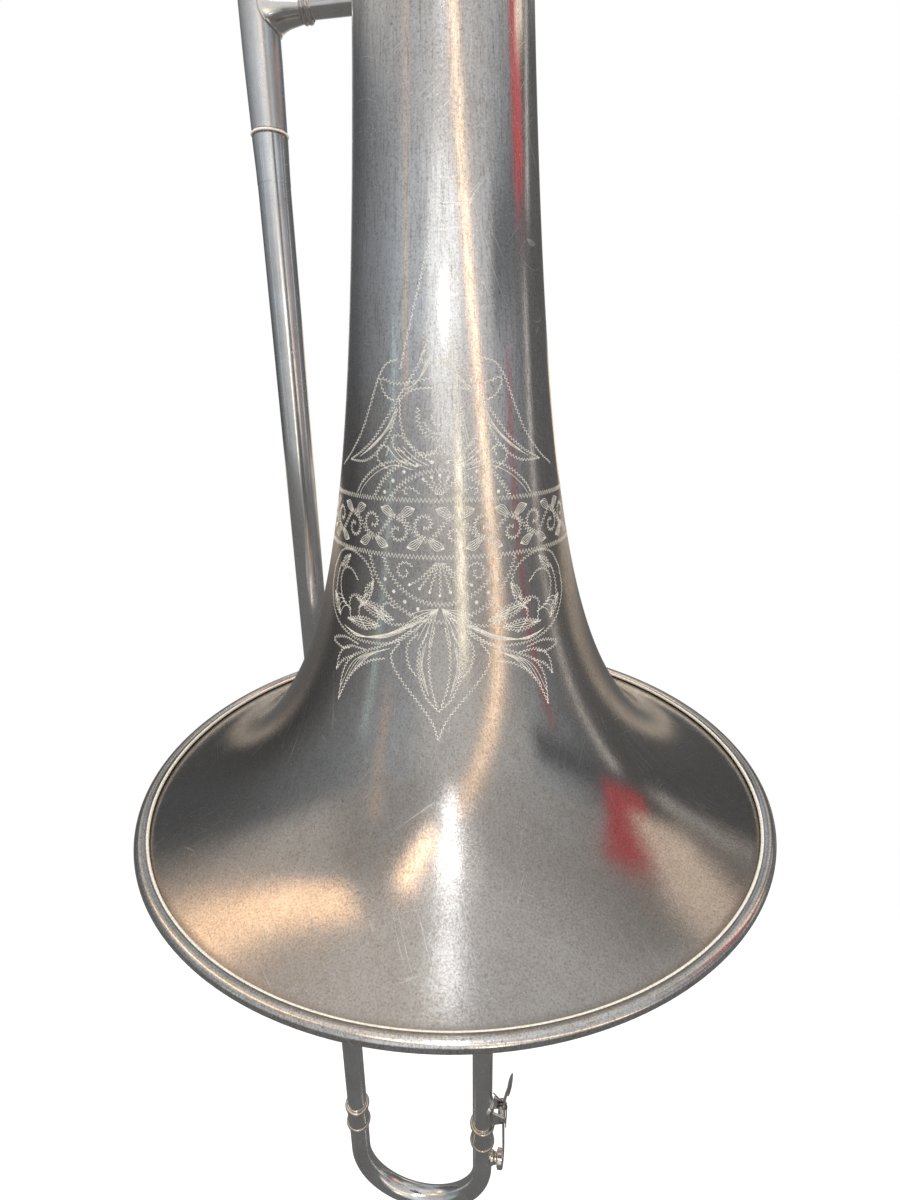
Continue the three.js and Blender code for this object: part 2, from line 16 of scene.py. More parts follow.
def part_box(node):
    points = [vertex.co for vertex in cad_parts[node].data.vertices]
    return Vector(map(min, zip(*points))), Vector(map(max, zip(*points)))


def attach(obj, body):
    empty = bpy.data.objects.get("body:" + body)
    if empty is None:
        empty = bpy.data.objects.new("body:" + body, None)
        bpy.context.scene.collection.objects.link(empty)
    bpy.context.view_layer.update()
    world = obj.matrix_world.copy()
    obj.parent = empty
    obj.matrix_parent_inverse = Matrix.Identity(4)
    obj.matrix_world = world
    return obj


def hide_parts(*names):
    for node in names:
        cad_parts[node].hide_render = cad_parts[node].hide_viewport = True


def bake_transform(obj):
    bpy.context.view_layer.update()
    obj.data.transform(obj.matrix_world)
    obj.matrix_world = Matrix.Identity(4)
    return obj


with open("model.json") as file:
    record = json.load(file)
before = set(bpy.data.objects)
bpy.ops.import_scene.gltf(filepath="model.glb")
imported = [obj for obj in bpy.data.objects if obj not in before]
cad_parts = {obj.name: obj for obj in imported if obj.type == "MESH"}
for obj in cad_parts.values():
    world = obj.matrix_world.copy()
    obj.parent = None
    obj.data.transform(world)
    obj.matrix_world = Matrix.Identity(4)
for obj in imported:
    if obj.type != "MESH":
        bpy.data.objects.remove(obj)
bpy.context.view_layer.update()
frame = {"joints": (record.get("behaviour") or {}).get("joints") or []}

MM = 0.001
TAU = 2 * math.pi
SIDES = 72  # round a tube
BELL_SIDES = 240
SHEET = 0.5  # wall of the bell and the drawn tubes
FILLET = 0.25  # rounding of a turned corner
COLLAR_BEAD = 2.4  # height of the bead at each end of a collar
BEAD_SHARE = 0.8  # how far a bead stands off its wall, as a share of half its height
BEAD_REACH = COLLAR_BEAD / 2 * BEAD_SHARE
NECK_RADIUS = 6.9  # the neckpipe's lower end
INNER_TUBE_RADIUS = 5.85
ROD_RADIUS = 3.2  # the rods of the braces
INNER_ROD_RADIUS = 3.4  # the inner slide's brace, which the left hand holds


# ---------------------------------------------------------------- reading the frame


def box_mm(node):
    low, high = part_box(node)
    return low / MM, high / MM


class Round:
    """The axis, ends and radius of an upright round CAD node."""

    def __init__(self, node):
        low, high = box_mm(node)
        self.x = (low.x + high.x) / 2
        self.y = (low.y + high.y) / 2
        self.low = low.z
        self.high = high.z
        self.length = high.z - low.z
        self.radius = (high.x - low.x) / 2


# ---------------------------------------------------------------- making meshes


def new_piece(name, body, material, verts, faces, wear=None, sharp_at=32, replaces=(), slot="silver_plate"):
    """A mesh piece from points. wear is 1 for a point on a worn edge, -1 in a corner and 0 elsewhere.

    A piece given no body is attached to none.
    """
    mesh = bpy.data.meshes.new(name)
    mesh.from_pydata([Vector(v) * MM for v in verts], [], faces)
    layer = mesh.attributes.new("edge", "FLOAT", "POINT")
    layer.data.foreach_set("value", wear or [0] * len(verts))
    bm = bmesh.new()
    bm.from_mesh(mesh)
    bmesh.ops.remove_doubles(bm, verts=bm.verts, dist=1e-7)
    bmesh.ops.recalc_face_normals(bm, faces=bm.faces)
    for face in bm.faces:
        face.smooth = True
    for line in bm.edges:
        if len(line.link_faces) == 2 and line.calc_face_angle(0) > math.radians(sharp_at):
            line.smooth = False
    bm.to_mesh(mesh)
    bm.free()
    mesh.materials.append(material)
    piece = bpy.data.objects.new(name, mesh)
    bpy.context.scene.collection.objects.link(piece)
    if body:
        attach(piece, body)
    if replaces:
        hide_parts(*replaces)
    return piece


def skin(name, body, material, rings, loop=False, **options):
    """A piece from rings of points. With loop the last ring joins the first, else each end gets a face."""
    count = len(rings[0])
    faces = []
    for a in range(len(rings) if loop else len(rings) - 1):
        b = (a + 1) % len(rings)
        for k in range(count):
            n = (k + 1) % count
            faces.append((a * count + k, a * count + n, b * count + n, b * count + k))
    if not loop:
        last = (len(rings) - 1) * count
        faces += [tuple(range(count)), tuple(range(last, last + count))]
    verts = [v for ring in rings for v in ring]
    return new_piece(name, body, material, verts, faces, **options)


def around(sides):
    """The angles of the points of a ring."""
    return [TAU * k / sides for k in range(sides)]


def arc_points(centre, radius, start, end, steps, end_radius=None):
    """Points of an arc from one angle to another in degrees, or of a spiral when it has an end radius."""
    growth = 0 if end_radius is None else end_radius - radius
    points = []
    for k in range(steps + 1):
        angle = math.radians(start + (end - start) * k / steps)
        reach = radius + growth * k / steps
        points.append((centre[0] + reach * math.cos(angle), centre[1] + reach * math.sin(angle)))
    return points


def smooth_line(points, per_span=8):
    """A Catmull-Rom curve through the points, as a list of vectors."""
    points = [Vector(p) for p in points]
    padded = [2 * points[0] - points[1], *points, 2 * points[-1] - points[-2]]
    line = []
    for i in range(len(points) - 1):
        a, b, c, d = padded[i : i + 4]
        slope = c - a
        bend = 2 * a - 5 * b + 4 * c - d
        twist = 3 * b - a - 3 * c + d
        for k in range(per_span):
            t = k / per_span
            line.append(0.5 * (2 * b + slope * t + bend * t * t + twist * t**3))
    return [*line, points[-1]]


def soften(corners, fillet=FILLET, steps=4):
    """Rounds the corners of a closed outline of (radius, height) and marks each point's wear.

    A corner may name its own fillet as a third number. A corner on the axis, or one that turns less than
    20 degrees, stays as it is, and one beside a very short edge gets no wear. On a long edge a guard point
    beside each rounding keeps the wear from spreading.
    """
    guard = 0.35
    shortest_worn = 0.2
    area = sum(a[0] * b[1] - b[0] * a[1] for a, b in zip(corners, corners[1:] + corners[:1]))
    facing = 1 if area > 0 else -1
    points = []
    for i, corner in enumerate(corners):
        here = Vector(corner[:2])
        before = Vector(corners[i - 1][:2]) - here
        after = Vector(corners[(i + 1) % len(corners)][:2]) - here
        turn = math.pi - before.angle(after, math.pi)
        if here.x < 1e-6 or turn < math.radians(20):
            points.append((here.x, here.y, 0))
            continue
        size = corner[2] if len(corner) > 2 else fillet
        setback = min(size * math.tan(turn / 2), 0.42 * before.length, 0.42 * after.length)
        radius = setback / math.tan(turn / 2)
        wear = facing if before.cross(after) < 0 else -facing
        if min(before.length, after.length) < shortest_worn:
            wear = 0
        back = before.normalized()
        ahead = after.normalized()
        enter = here + back * setback
        leave = here + ahead * setback
        centre = here + (back + ahead).normalized() * (radius / math.cos(turn / 2))
        rounding = []
        for k in range(steps + 1):
            chord = enter.lerp(leave, k / steps) - centre
            rounding.append((*(centre + chord.normalized() * radius), wear))
        if before.length > 2 * (setback + guard):
            rounding.insert(0, (*(here + back * (setback + guard)), 0))
        if after.length > 2 * (setback + guard):
            rounding.append((*(here + ahead * (setback + guard)), 0))
        points += rounding
    return points


def half_round(wall, height, middle, steps=8, proud=BEAD_SHARE):
    """Corners of a smooth bead on an outside wall, from its lower edge to its upper edge."""
    half = height / 2
    corners = []
    for k in range(steps + 1):
        angle = math.pi * k / steps
        corners.append((wall + half * proud * math.sin(angle), middle - half * math.cos(angle)))
    return corners


def upright(x, y, z):
    return Matrix.Translation((x, y, z))


def along_x(x, y, z):
    return upright(x, y, z) @ Matrix.Rotation(math.pi / 2, 4, "Y")


def along_y(x, y, z):
    return upright(x, y, z) @ Matrix.Rotation(-math.pi / 2, 4, "X")


def turned(name, body, material, outline, place, sides=SIDES, **options):
    """A closed outline of (radius, height, wear) turned round Z, then moved by the matrix place."""
    rings = []
    wear = []
    for radius, height, amount in outline:
        rings.append([place @ Vector((radius * math.sin(a), radius * math.cos(a), height)) for a in around(sides)])
        wear += [amount] * sides
    return skin(name, body, material, rings, loop=True, wear=wear, **options)


def redraw(node, body, material, corners, fillet=FILLET, **options):
    """Shows the turned corners instead of an upright round CAD node. Heights are above the node's foot."""
    line = Round(node)
    place = upright(line.x, line.y, line.low)
    outline = soften(corners, fillet)
    return turned(f"{node}_visual", body, material, outline, place, replaces=[node], **options)


def painted_highlight_ring(name, body, at, radius, place, sides=SIDES):
    """A thin pale ring turned round Z, round the point at of (radius, height): a painted highlight, a bright line that
    stays lit whatever the metal round it reflects.
    """
    outline = [(r, z, 0) for r, z in arc_points(at, radius, 0, 330, 11)]
    turned(name, body, painted_highlight, outline, place, sides)


def swept_rings(path, radii, sides):
    """Circles of the given radii square to a path of points, kept from twisting."""
    rings = []
    up = Vector((0, 1, 0))
    for i, point in enumerate(path):
        along = (path[min(i + 1, len(path) - 1)] - path[max(i - 1, 0)]).normalized()
        side = along.cross(up)
        if side.length < 1e-3:
            side = along.cross(Vector((1, 0, 0)))
        side.normalize()
        up = side.cross(along).normalized()
        rings.append([point + (side * math.cos(a) + up * math.sin(a)) * radii[i] for a in around(sides)])
    return rings


def tube_along(name, body, material, path, outer, inner=None, sides=SIDES, **options):
    """A tube, or a solid rod when inner is None, along a path. outer and inner are a radius for each point."""
    rings = swept_rings(path, outer, sides)
    if inner:
        rings += reversed(swept_rings(path, inner, sides))
    return skin(name, body, material, rings, loop=bool(inner), **options)


def u_bend(centre, across, half_span, leg, stations, opens):
    """Points of a U: a leg, a half circle and a leg. across is the way from the first leg to the second.

    opens is -1 for a U that opens downwards and 1 for one that opens upwards.
    """
    way = Vector(across)
    length = 2 * leg + math.pi * half_span
    points = []
    for k in range(stations + 1):
        along = length * k / stations
        if along <= leg:
            side, rise = -half_span, along
        elif along >= length - leg:
            side, rise = half_span, length - along
        else:
            angle = (along - leg) / half_span
            side, rise = -half_span * math.cos(angle), leg + half_span * math.sin(angle)
        points.append(Vector(centre) + way * side + Vector((0, 0, -opens * rise)))
    return points


# ---------------------------------------------------------------- materials


class Nodes:
    """A node tree being filled in, with short names for the nodes used here."""

    def __init__(self, tree):
        self.tree = tree
        tree.nodes.clear()

    def fill(self, socket, value):
        """Links an output to an input, or gives the input a plain value. A node stands for its first output."""
        if isinstance(value, bpy.types.Node):
            value = value.outputs[0]
        if isinstance(value, bpy.types.NodeSocket):
            self.tree.links.new(value, socket)
        elif isinstance(value, tuple) and socket.type == "RGBA":
            socket.default_value = (*value, 1)
        else:
            socket.default_value = value

    def add(self, kind, *inputs, **values):
        """A new node. inputs fill its first inputs in turn, and values its properties and named inputs."""
        node = self.tree.nodes.new(kind)
        for key, value in values.items():
            if hasattr(node, key):
                setattr(node, key, value)
            else:
                self.fill(node.inputs[key.replace("_", " ")], value)
        for socket, value in zip(node.inputs, inputs):
            self.fill(socket, value)
        return node

    def math(self, operation, *inputs, clamp=False):
        return self.add("ShaderNodeMath", *inputs, operation=operation, use_clamp=clamp).outputs[0]

    def times(self, a, b):
        return self.math("MULTIPLY", a, b)

    def inverse(self, value):
        return self.math("SUBTRACT", 1, value)

    def mix(self, factor, a, b):
        """Mixes two colours."""
        node = self.add("ShaderNodeMix", factor, data_type="RGBA")
        self.fill(node.inputs[6], a)
        self.fill(node.inputs[7], b)
        return node.outputs[2]

    def ramp(self, source, low, high):
        """0 below low, 1 above high, smooth between."""
        return self.add("ShaderNodeMapRange", source, low, high, interpolation_type="SMOOTHSTEP").outputs[0]

    def noise(self, vector, scale, detail=3, roughness=0.5):
        node = self.add("ShaderNodeTexNoise", vector, Scale=scale, Detail=detail, Roughness=roughness)
        return node.outputs["Fac"]

    def cells(self, vector, scale):
        """The distance to the nearest of many scattered points."""
        return self.add("ShaderNodeTexVoronoi", vector, Scale=scale).outputs["Distance"]

    def stretched(self, vector, scale=(1, 1, 1), turn=(0, 0, 0)):
        """The coordinates turned, then squeezed along each axis."""
        turned_vector = self.add("ShaderNodeMapping", vector, Rotation=turn)
        return self.add("ShaderNodeMapping", turned_vector, Scale=scale).outputs[0]

    def split(self, vector):
        """The X, Y and Z of a vector."""
        return self.add("ShaderNodeSeparateXYZ", vector).outputs

    def length(self, vector):
        return self.add("ShaderNodeVectorMath", vector, operation="LENGTH").outputs["Value"]

    def bump(self, height, strength, distance, normal=None):
        node = self.add("ShaderNodeBump", Height=height, Strength=strength, Distance=distance)
        if normal:
            self.fill(node.inputs["Normal"], normal)
        return node

    def here(self, kind="Object"):
        """The coordinates of the point being shaded."""
        return self.add("ShaderNodeTexCoord").outputs[kind]

    def rays(self, kind):
        """1 for a ray of this kind, such as Camera or Glossy, and 0 for any other."""
        return self.add("ShaderNodeLightPath").outputs[f"Is {kind} Ray"]


def new_material(name):
    material = bpy.data.materials.new(name)
    material.use_nodes = True
    return material, Nodes(material.node_tree)


def scratches(nodes, place, scale, turns):
    """Thin lines in a few directions, 1 on a scratch."""
    total = 0
    for turn in turns:
        lines = nodes.noise(nodes.stretched(place, (1, 0.012, 0.03), turn), scale, detail=1)
        off_line = nodes.math("ABSOLUTE", nodes.math("SUBTRACT", lines, 0.5))
        thin = nodes.inverse(nodes.ramp(off_line, 0, 0.004))
        patchy = nodes.ramp(nodes.noise(nodes.stretched(place, turn=turn), 60, detail=2), 0.54, 0.64)
        total = nodes.math("MAXIMUM", nodes.times(thin, patchy), total)
    return total


def specks(nodes, place, scale, size):
    """Scattered tiny dots, 1 on a dot."""
    dot = nodes.inverse(nodes.ramp(nodes.cells(place, scale), size * 0.5, size))
    chosen = nodes.ramp(nodes.noise(place, scale * 0.3, detail=1), 0.54, 0.6)
    return nodes.times(dot, chosen)


def darkening_share(nodes, place, axis, clean_radius, fading, clean):
    """1 where the bell's colour is darkened: inside the clean rim's radius, fading out between two heights."""
    below = nodes.inverse(nodes.ramp(nodes.split(place)["Z"], fading, clean))
    from_axis = nodes.add("ShaderNodeVectorMath", place, (1, 1, 0), (-axis[0], -axis[1], 0), operation="MULTIPLY_ADD")
    inside = nodes.inverse(nodes.ramp(nodes.length(from_axis), clean_radius, clean_radius + 0.0005))
    return nodes.times(below, inside)


def metal(name, bright, tarnish, roughness, draw=0.5, dents=0.05, worn=(0.62, 0.45, 0.2), grain=0.5, aniso=0,
          darkened_low=None):
    """Old metal: faint clouds of tarnish, lines drawn along Z, fine grain, scratches, pits, worn edges and grime.

    draw is the strength of the drawn lines, grain of the grain and pits, dents of the waves in the surface.
    aniso stretches highlights along Z, and darkened_low holds the last four arguments of darkening_share.
    """
    material, nodes = new_material(name)
    place = nodes.here()
    clouds = nodes.ramp(nodes.noise(place, 26, detail=5, roughness=0.55), 0.36, 0.7)
    fog = nodes.noise(place, 160, detail=6, roughness=0.65)
    fine_grain = nodes.noise(place, 2200, detail=4, roughness=0.8)
    drawn = nodes.noise(nodes.stretched(place, (1, 1, 0.008)), 2300, detail=5, roughness=0.75)
    broad_drawn = nodes.noise(nodes.stretched(place, (1, 1, 0.012)), 420, detail=5, roughness=0.7)
    cuts = scratches(nodes, place, 420, ((0.3, 0.2, 0.5), (1.1, 0.4, 2.1), (0.2, 1.2, 1.2), (0.9, 0.8, 0.1)))
    pits = specks(nodes, place, 1500, 0.17)

    edge = nodes.add("ShaderNodeAttribute", attribute_name="edge").outputs["Fac"]
    worn_share = nodes.ramp(nodes.noise(place, 420, detail=4), 0.35, 0.65)
    rubbed = nodes.times(nodes.ramp(edge, 0.2, 0.9), worn_share)
    grime = nodes.ramp(nodes.times(edge, -1), 0.15, 0.95)

    dark = (tarnish[0] * 0.42, tarnish[1] * 0.39, tarnish[2] * 0.34)
    light = tuple(min(1, c * 1.25) for c in bright)
    layers = [
        (clouds, 0.45, tarnish),
        (nodes.ramp(fog, 0.4, 0.75), 0.3, tarnish),
        (nodes.ramp(broad_drawn, 0.45, 0.75), 0.35 * draw, tarnish),
        (nodes.ramp(drawn, 0.5, 0.7), 0.4 * draw, dark),
        (nodes.ramp(drawn, 0.5, 0.3), 0.4 * draw, light),
        (nodes.ramp(fine_grain, 0.5, 0.72), 0.5 * grain, dark),
        (nodes.ramp(fine_grain, 0.5, 0.28), 0.5 * grain, light),
        (pits, 0.9 * grain, light),
        (rubbed, 0.8, worn),
        (grime, 0.8, dark),
        (cuts, 0.6, light),
    ]
    if darkened_low:
        # Darker colour towards the bottom of the bell, fading out upwards, with the rim left clean.
        layers.append((darkening_share(nodes, place, *darkened_low), 0.5, dark))
    colour = bright
    for cover, strength, tone in layers:
        colour = nodes.mix(nodes.times(cover, strength), colour, tone)

    rough = roughness
    for roughener, strength in (
        (clouds, 0.06),
        (nodes.math("SUBTRACT", fog, 0.5), 0.15),
        (nodes.math("SUBTRACT", drawn, 0.5), 0.25 * draw),
        (nodes.math("MAXIMUM", pits, cuts), 0.2),
        (grime, 0.25),
    ):
        rough = nodes.math("ADD", rough, nodes.times(roughener, strength))

    normal = None
    for height, strength, distance in (
        (nodes.noise(place, 30, detail=1), dents, 0.0008),
        (drawn, 0.25 * draw, 0.00003),
        (broad_drawn, 0.18 * draw, 0.00008),
        (fine_grain, 0.25 * grain, 0.00001),
        (nodes.times(cuts, -1), 0.2, 0.00002),
    ):
        normal = nodes.bump(height, strength, distance, normal)

    clamped = nodes.math("ADD", rough, 0, clamp=True)
    shader = nodes.add("ShaderNodeBsdfPrincipled", colour, Metallic=1, Roughness=clamped, Normal=normal)
    if aniso:
        nodes.fill(shader.inputs["Anisotropic"], aniso)
        nodes.fill(shader.inputs["Anisotropic Rotation"], 0.25)
        nodes.fill(shader.inputs["Tangent"], nodes.add("ShaderNodeTangent", direction_type="RADIAL", axis="Z"))
    nodes.add("ShaderNodeOutputMaterial", shader)
    return material


def frosted_metal(name, bright, shaded):
    """A rough bright surface that scatters light, so it stays pale whatever the wall round it reflects."""
    material, nodes = new_material(name)
    nicks = nodes.noise(nodes.here(), 2400, detail=3)
    colour = nodes.mix(nodes.ramp(nicks, 0.4, 0.7), bright, shaded)
    normal = nodes.bump(nicks, 0.5, 0.00003)
    shader = nodes.add("ShaderNodeBsdfPrincipled", colour, Metallic=0.3, Roughness=0.4, Normal=normal)
    nodes.add("ShaderNodeOutputMaterial", shader)
    return material


def cork_material():
    material, nodes = new_material("cork")
    place = nodes.here()
    cells = nodes.cells(place, 900)
    tone = nodes.noise(place, 1500, detail=4)
    colour = nodes.mix(nodes.ramp(tone, 0.35, 0.65), (0.42, 0.25, 0.12), (0.62, 0.42, 0.24))
    colour = nodes.mix(nodes.ramp(cells, 0.5, 0.75), colour, (0.16, 0.09, 0.05))
    shader = nodes.add("ShaderNodeBsdfPrincipled", colour, Roughness=0.85, Normal=nodes.bump(cells, 0.5, 0.0002))
    nodes.add("ShaderNodeOutputMaterial", shader)
    return material


bell = Round("bell")

SILVER = (0.88, 0.87, 0.86)
TARNISH = (0.55, 0.5, 0.46)
CLEAN_RIM = 3.3  # width of the rim that stays bright
bell_darkening = ((bell.x * MM, bell.y * MM), (bell.radius - CLEAN_RIM) * MM, 0.49, 0.575)
bell_plate = metal("bell_silver_plate", SILVER, TARNISH, 0.1, draw=1.35, dents=0.1, grain=1.5, aniso=0.15,
                   darkened_low=bell_darkening)
# The tube and slide plates are painted lighter and bluer than the bell's silver: a painted cool reflection for the
# bright bluish streaks along the tubes.
tube_plate_painted_cool = metal("tube_silver_plate_painted_cool", (0.9, 0.94, 0.96), TARNISH, 0.27, dents=0.08)
slide_plate_painted_cool = metal("slide_silver_plate_painted_cool", (0.9, 0.93, 0.95), TARNISH, 0.15, dents=0.06)
fitting_plate = metal("fitting_silver_plate", SILVER, TARNISH, 0.16, draw=0.15)
nickel_silver = metal("nickel_silver", (0.74, 0.71, 0.65), (0.5, 0.46, 0.4), 0.14)
bare_brass = metal("bare_brass", (0.7, 0.5, 0.22), (0.3, 0.19, 0.08), 0.3, draw=0.3)
steel = metal("spring_steel", (0.38, 0.39, 0.42), (0.16, 0.12, 0.1), 0.3, draw=0.1, dents=0, worn=(0.55, 0.55, 0.57))
cut_silver = frosted_metal("engraved_cut", (0.86, 0.82, 0.73), (0.6, 0.55, 0.47))
# A near-white matt ring for the rim and lip edges: painted highlight, a pale line whatever the metal round it reflects.
painted_highlight = frosted_metal("painted_highlight", (1, 0.95, 0.84), (0.8, 0.72, 0.58))
cork = cork_material()


# ---------------------------------------------------------------- the bell

FLARE_OFFSET = 15
FLARE_POWER = 0.59
WIRE_RADIUS = 0.9
ROLL_RADIUS = WIRE_RADIUS + 0.15 + SHEET  # outside of the sheet where it rolls round the wire
BELL_LINE = (bell.x, bell.y)

wire_centre = (bell.radius - ROLL_RADIUS, ROLL_RADIUS)
bell_place = upright(bell.x, bell.y, bell.low)


def horn(height):
    """Radius of the bell's mouth-side wall at a height above the rim's plane."""
    return wire_centre[0] * (FLARE_OFFSET / (height + FLARE_OFFSET)) ** FLARE_POWER


def flare_point(height, offset):
    """A point off the mouth-side wall by an offset square to it, as (radius, height)."""
    slope = -FLARE_POWER * horn(height) / (height + FLARE_OFFSET)
    length = math.hypot(1, slope)
    return horn(height) + offset / length, height - offset * slope / length


def flare_wall(offset, count=90):
    """Points up the flare's wall, closer together towards the rim."""
    low = FLARE_OFFSET + 0.2
    high = FLARE_OFFSET + bell.length
    heights = [low * (high / low) ** (i / count) - FLARE_OFFSET for i in range(count + 1)]
    return [flare_point(height, offset) for height in heights]


def unworn(points):
    return [(*point, 0) for point in points]


def build_bell():
    """The spun bell: the sheet rolls outwards round the rim wire and stops just short of the flare."""
    body = "bell_section"
    back = flare_wall(SHEET)[::-1]
    back[0] = (back[0][0], bell.length)
    seam_groove = [(*p, -0.6) for p in back[-2:]]
    inside_roll = arc_points(wire_centre, ROLL_RADIUS - SHEET, -106, 190, 24)
    steps = 40
    start, end = 190, -74
    crest = []
    for k, point in enumerate(arc_points(wire_centre, ROLL_RADIUS, start, end, steps)):
        rise = math.sin(math.radians(start + (end - start) * k / steps))
        crest.append((*point, 0.4 * max(0, rise)))
    resting_flat = [(wire_centre[0] + 0.3, 0), (wire_centre[0] - 0.6, 0)]
    outline = [
        *unworn(back[:-2]), *seam_groove, *unworn(inside_roll), *crest, *unworn(resting_flat), *unworn(flare_wall(0)),
    ]
    turned("bell_visual", body, bell_plate, outline, bell_place, BELL_SIDES, replaces=["bell"])

    # The pale ring where the rolled sheet's edge meets the flare is a painted highlight: the bright line inside the
    # rim.
    seam = arc_points(wire_centre, ROLL_RADIUS - 0.1, 172, 172, 1)[0]
    painted_highlight_ring("bell_rim_edge", body, seam, 0.55, bell_place, BELL_SIDES)

    wire = unworn(arc_points(wire_centre, WIRE_RADIUS, 0, 345, 23))
    turned("bell_rim_wire_visual", body, bare_brass, wire, bell_place, BELL_SIDES,
           replaces=["bell_rim_wire"], slot="brass")


# ---------------------------------------------------------------- tubes and ferrules


def plain_tube(node, body, material, wall, **options):
    line = Round(node)
    bore = line.radius - wall
    corners = [(bore, 0), (line.radius, 0), (line.radius, line.length), (bore, line.length)]
    redraw(node, body, material, corners, fillet=0.12, **options)


def collar(node, body, lower_bore, upper_bore, joint):
    """A ferrule with a bead at each end over two tubes, which meet at the height joint."""
    line = Round(node)
    wall = line.radius - BEAD_REACH
    waist = wall - 0.12
    step = joint - line.low
    corners = [
        (lower_bore, 0), *half_round(wall, COLLAR_BEAD, COLLAR_BEAD / 2), (waist, 3.2), (waist, line.length - 3.2),
        *half_round(wall, COLLAR_BEAD, line.length - COLLAR_BEAD / 2), (upper_bore, line.length),
        (upper_bore, step), (lower_bore, step),
    ]
    redraw(node, body, fitting_plate, corners)


def tuning_sleeve(node, bore):
    top = Round(node).length
    wall = bore + SHEET
    corners = [(bore, 0), (wall, 0), *half_round(wall, 2, top - 1.4), (wall - 0.05, top - 0.2), (bore, top)]
    redraw(node, "bell_section", tube_plate_painted_cool, corners, fillet=0.12)


def build_slide_receiver(neck_low):
    """The stepped and beaded socket under the neckpipe, which takes the hand slide's tenon."""
    line = Round("slide_receiver")
    foot = neck_low - line.low
    step = foot - 0.5
    neck_bore = NECK_RADIUS + 0.05
    corners = [
        (8.75, 0), (10, 0), *half_round(10, 3, 3), (10, 5), (9.75, 8), *half_round(9.55, 1.6, 20), (9.2, step),
        (8.4, foot + 4), *half_round(8.2, 2.4, foot + 5.6), (neck_bore, line.length), (neck_bore, step), (8.1, step),
    ]
    redraw("slide_receiver", "bell_section", fitting_plate, corners)


def build_bell_section_tubes():
    body = "bell_section"
    bell_leg = Round("tuning_leg_bell").radius
    neck_leg = Round("tuning_leg_neck").radius
    tuning_sleeve("bell_tuning_sleeve", bell_leg + 0.05)
    tuning_sleeve("neck_tuning_sleeve", neck_leg + 0.05)

    neck = Round("neckpipe")
    corners = [(NECK_RADIUS - SHEET, 0), (NECK_RADIUS, 0), (neck.radius, neck.length), (neck.radius - SHEET, neck.length)]
    redraw("neckpipe", body, tube_plate_painted_cool, corners, fillet=0.1)

    sleeve = SHEET + 0.08  # from a leg's radius to the outside of its sleeve
    stem = horn(bell.length - 9) + SHEET
    collar("bell_stem_ferrule", body, stem + 0.03, bell_leg + sleeve, neck.high)
    collar("neck_stem_ferrule", body, neck.radius + 0.03, neck_leg + sleeve, neck.high)
    build_slide_receiver(neck.low)


# ---------------------------------------------------------------- cross braces


class Foot:
    """The frame of a brace foot: the tube's axis point, the way out along the brace, and the way across."""

    def __init__(self, node, tube, out):
        low, high = box_mm(node)
        self.out = Vector(out)
        self.across = Vector((0, 0, 1)).cross(self.out)
        self.centre = Vector((*tube, (low.z + high.z) / 2))
        self.half_height = (high.z - low.z) / 2
        self.end = max(abs((corner - self.centre).dot(self.out)) for corner in (low, high))

    def at(self, distance, across, up):
        return self.centre + self.out * distance + self.across * across + Vector((0, 0, up))

    def socket_ring(self, distance, radius, sides):
        return [self.at(distance, radius * math.cos(a), radius * math.sin(a)) for a in around(sides)]

    def saddle_ring(self, radius, wrap, share, sides):
        """A ring on a tube's wall: the saddle's edge for share 1, shrinking to a point at share 0."""
        ring = []
        for a in around(sides):
            angle = math.radians(wrap) * share * math.cos(a)
            up = 0.98 * self.half_height * share * math.sin(a)
            ring.append(self.at(radius * math.cos(angle), radius * math.sin(angle), up))
        return ring


def socket_profile(start, end, socket, rod):
    """The collar at the end of a brace foot, as (distance, radius, wear): a groove, two fine rings, a bore."""
    profile = [start, (end - 4.2, socket + 0.15, 0), (end - 3.7, socket, -0.8)]
    for middle in (end - 2.9, end - 1.15):
        profile += [(height, radius, 0.35) for radius, height in half_round(socket, 1.3, middle, proud=1)]
        profile.append((middle + 0.85, socket - 0.02, -0.8))
    profile += [(end - 0.15, socket - 0.05, 0.3), (end, socket - 0.25, 0.4), (end, rod + 0.06, -0.5)]
    return [*profile, (end - 3.8, rod + 0.06, 0), (end - 3.8, 0.05, 0)]


def brace_foot(node, body, tube, tube_radius, out, rod, wrap, sides=64):
    """A saddle soldered round a tube, tapering into a socket that ends in two fine rings.

    wrap is how far the saddle's edge reaches round the tube, in degrees from the brace's line.
    """
    foot = Foot(node, tube, out)
    socket = rod + 0.7
    rings = []
    wear = []
    saddle = [(0.02, 0.04, 0), (0.35, 0.04, 0), (0.7, 0.04, 0), (1, 0.04, -0.6), (1, 0.4, 0.55), (0.965, 0.58, 0.4)]
    for share, lift, amount in saddle:
        rings.append(foot.saddle_ring(tube_radius + lift, wrap, share, sides))
        wear.append(amount)

    edge = rings[-1]
    hug = foot.saddle_ring(tube_radius + 0.7, wrap, 0.8, sides)
    root = foot.socket_ring(tube_radius + 4.2, socket + 0.95, sides)
    steps = 12
    for step in range(1, steps + 1):
        t = step / steps
        rings.append([a.lerp(b, t).lerp(b.lerp(c, t), t) for a, b, c in zip(edge, hug, root)])
        wear.append(-0.25 if step < 3 else 0)

    start = (tube_radius + 4.2, socket + 0.95, 0)
    for distance, radius, amount in socket_profile(start, foot.end, socket, rod)[1:]:
        rings.append(foot.socket_ring(distance, radius, sides))
        wear.append(amount)
    wear = [amount for amount in wear for _ in range(sides)]
    skin(f"{node}_visual", body, fitting_plate, rings, wear=wear, replaces=[node])


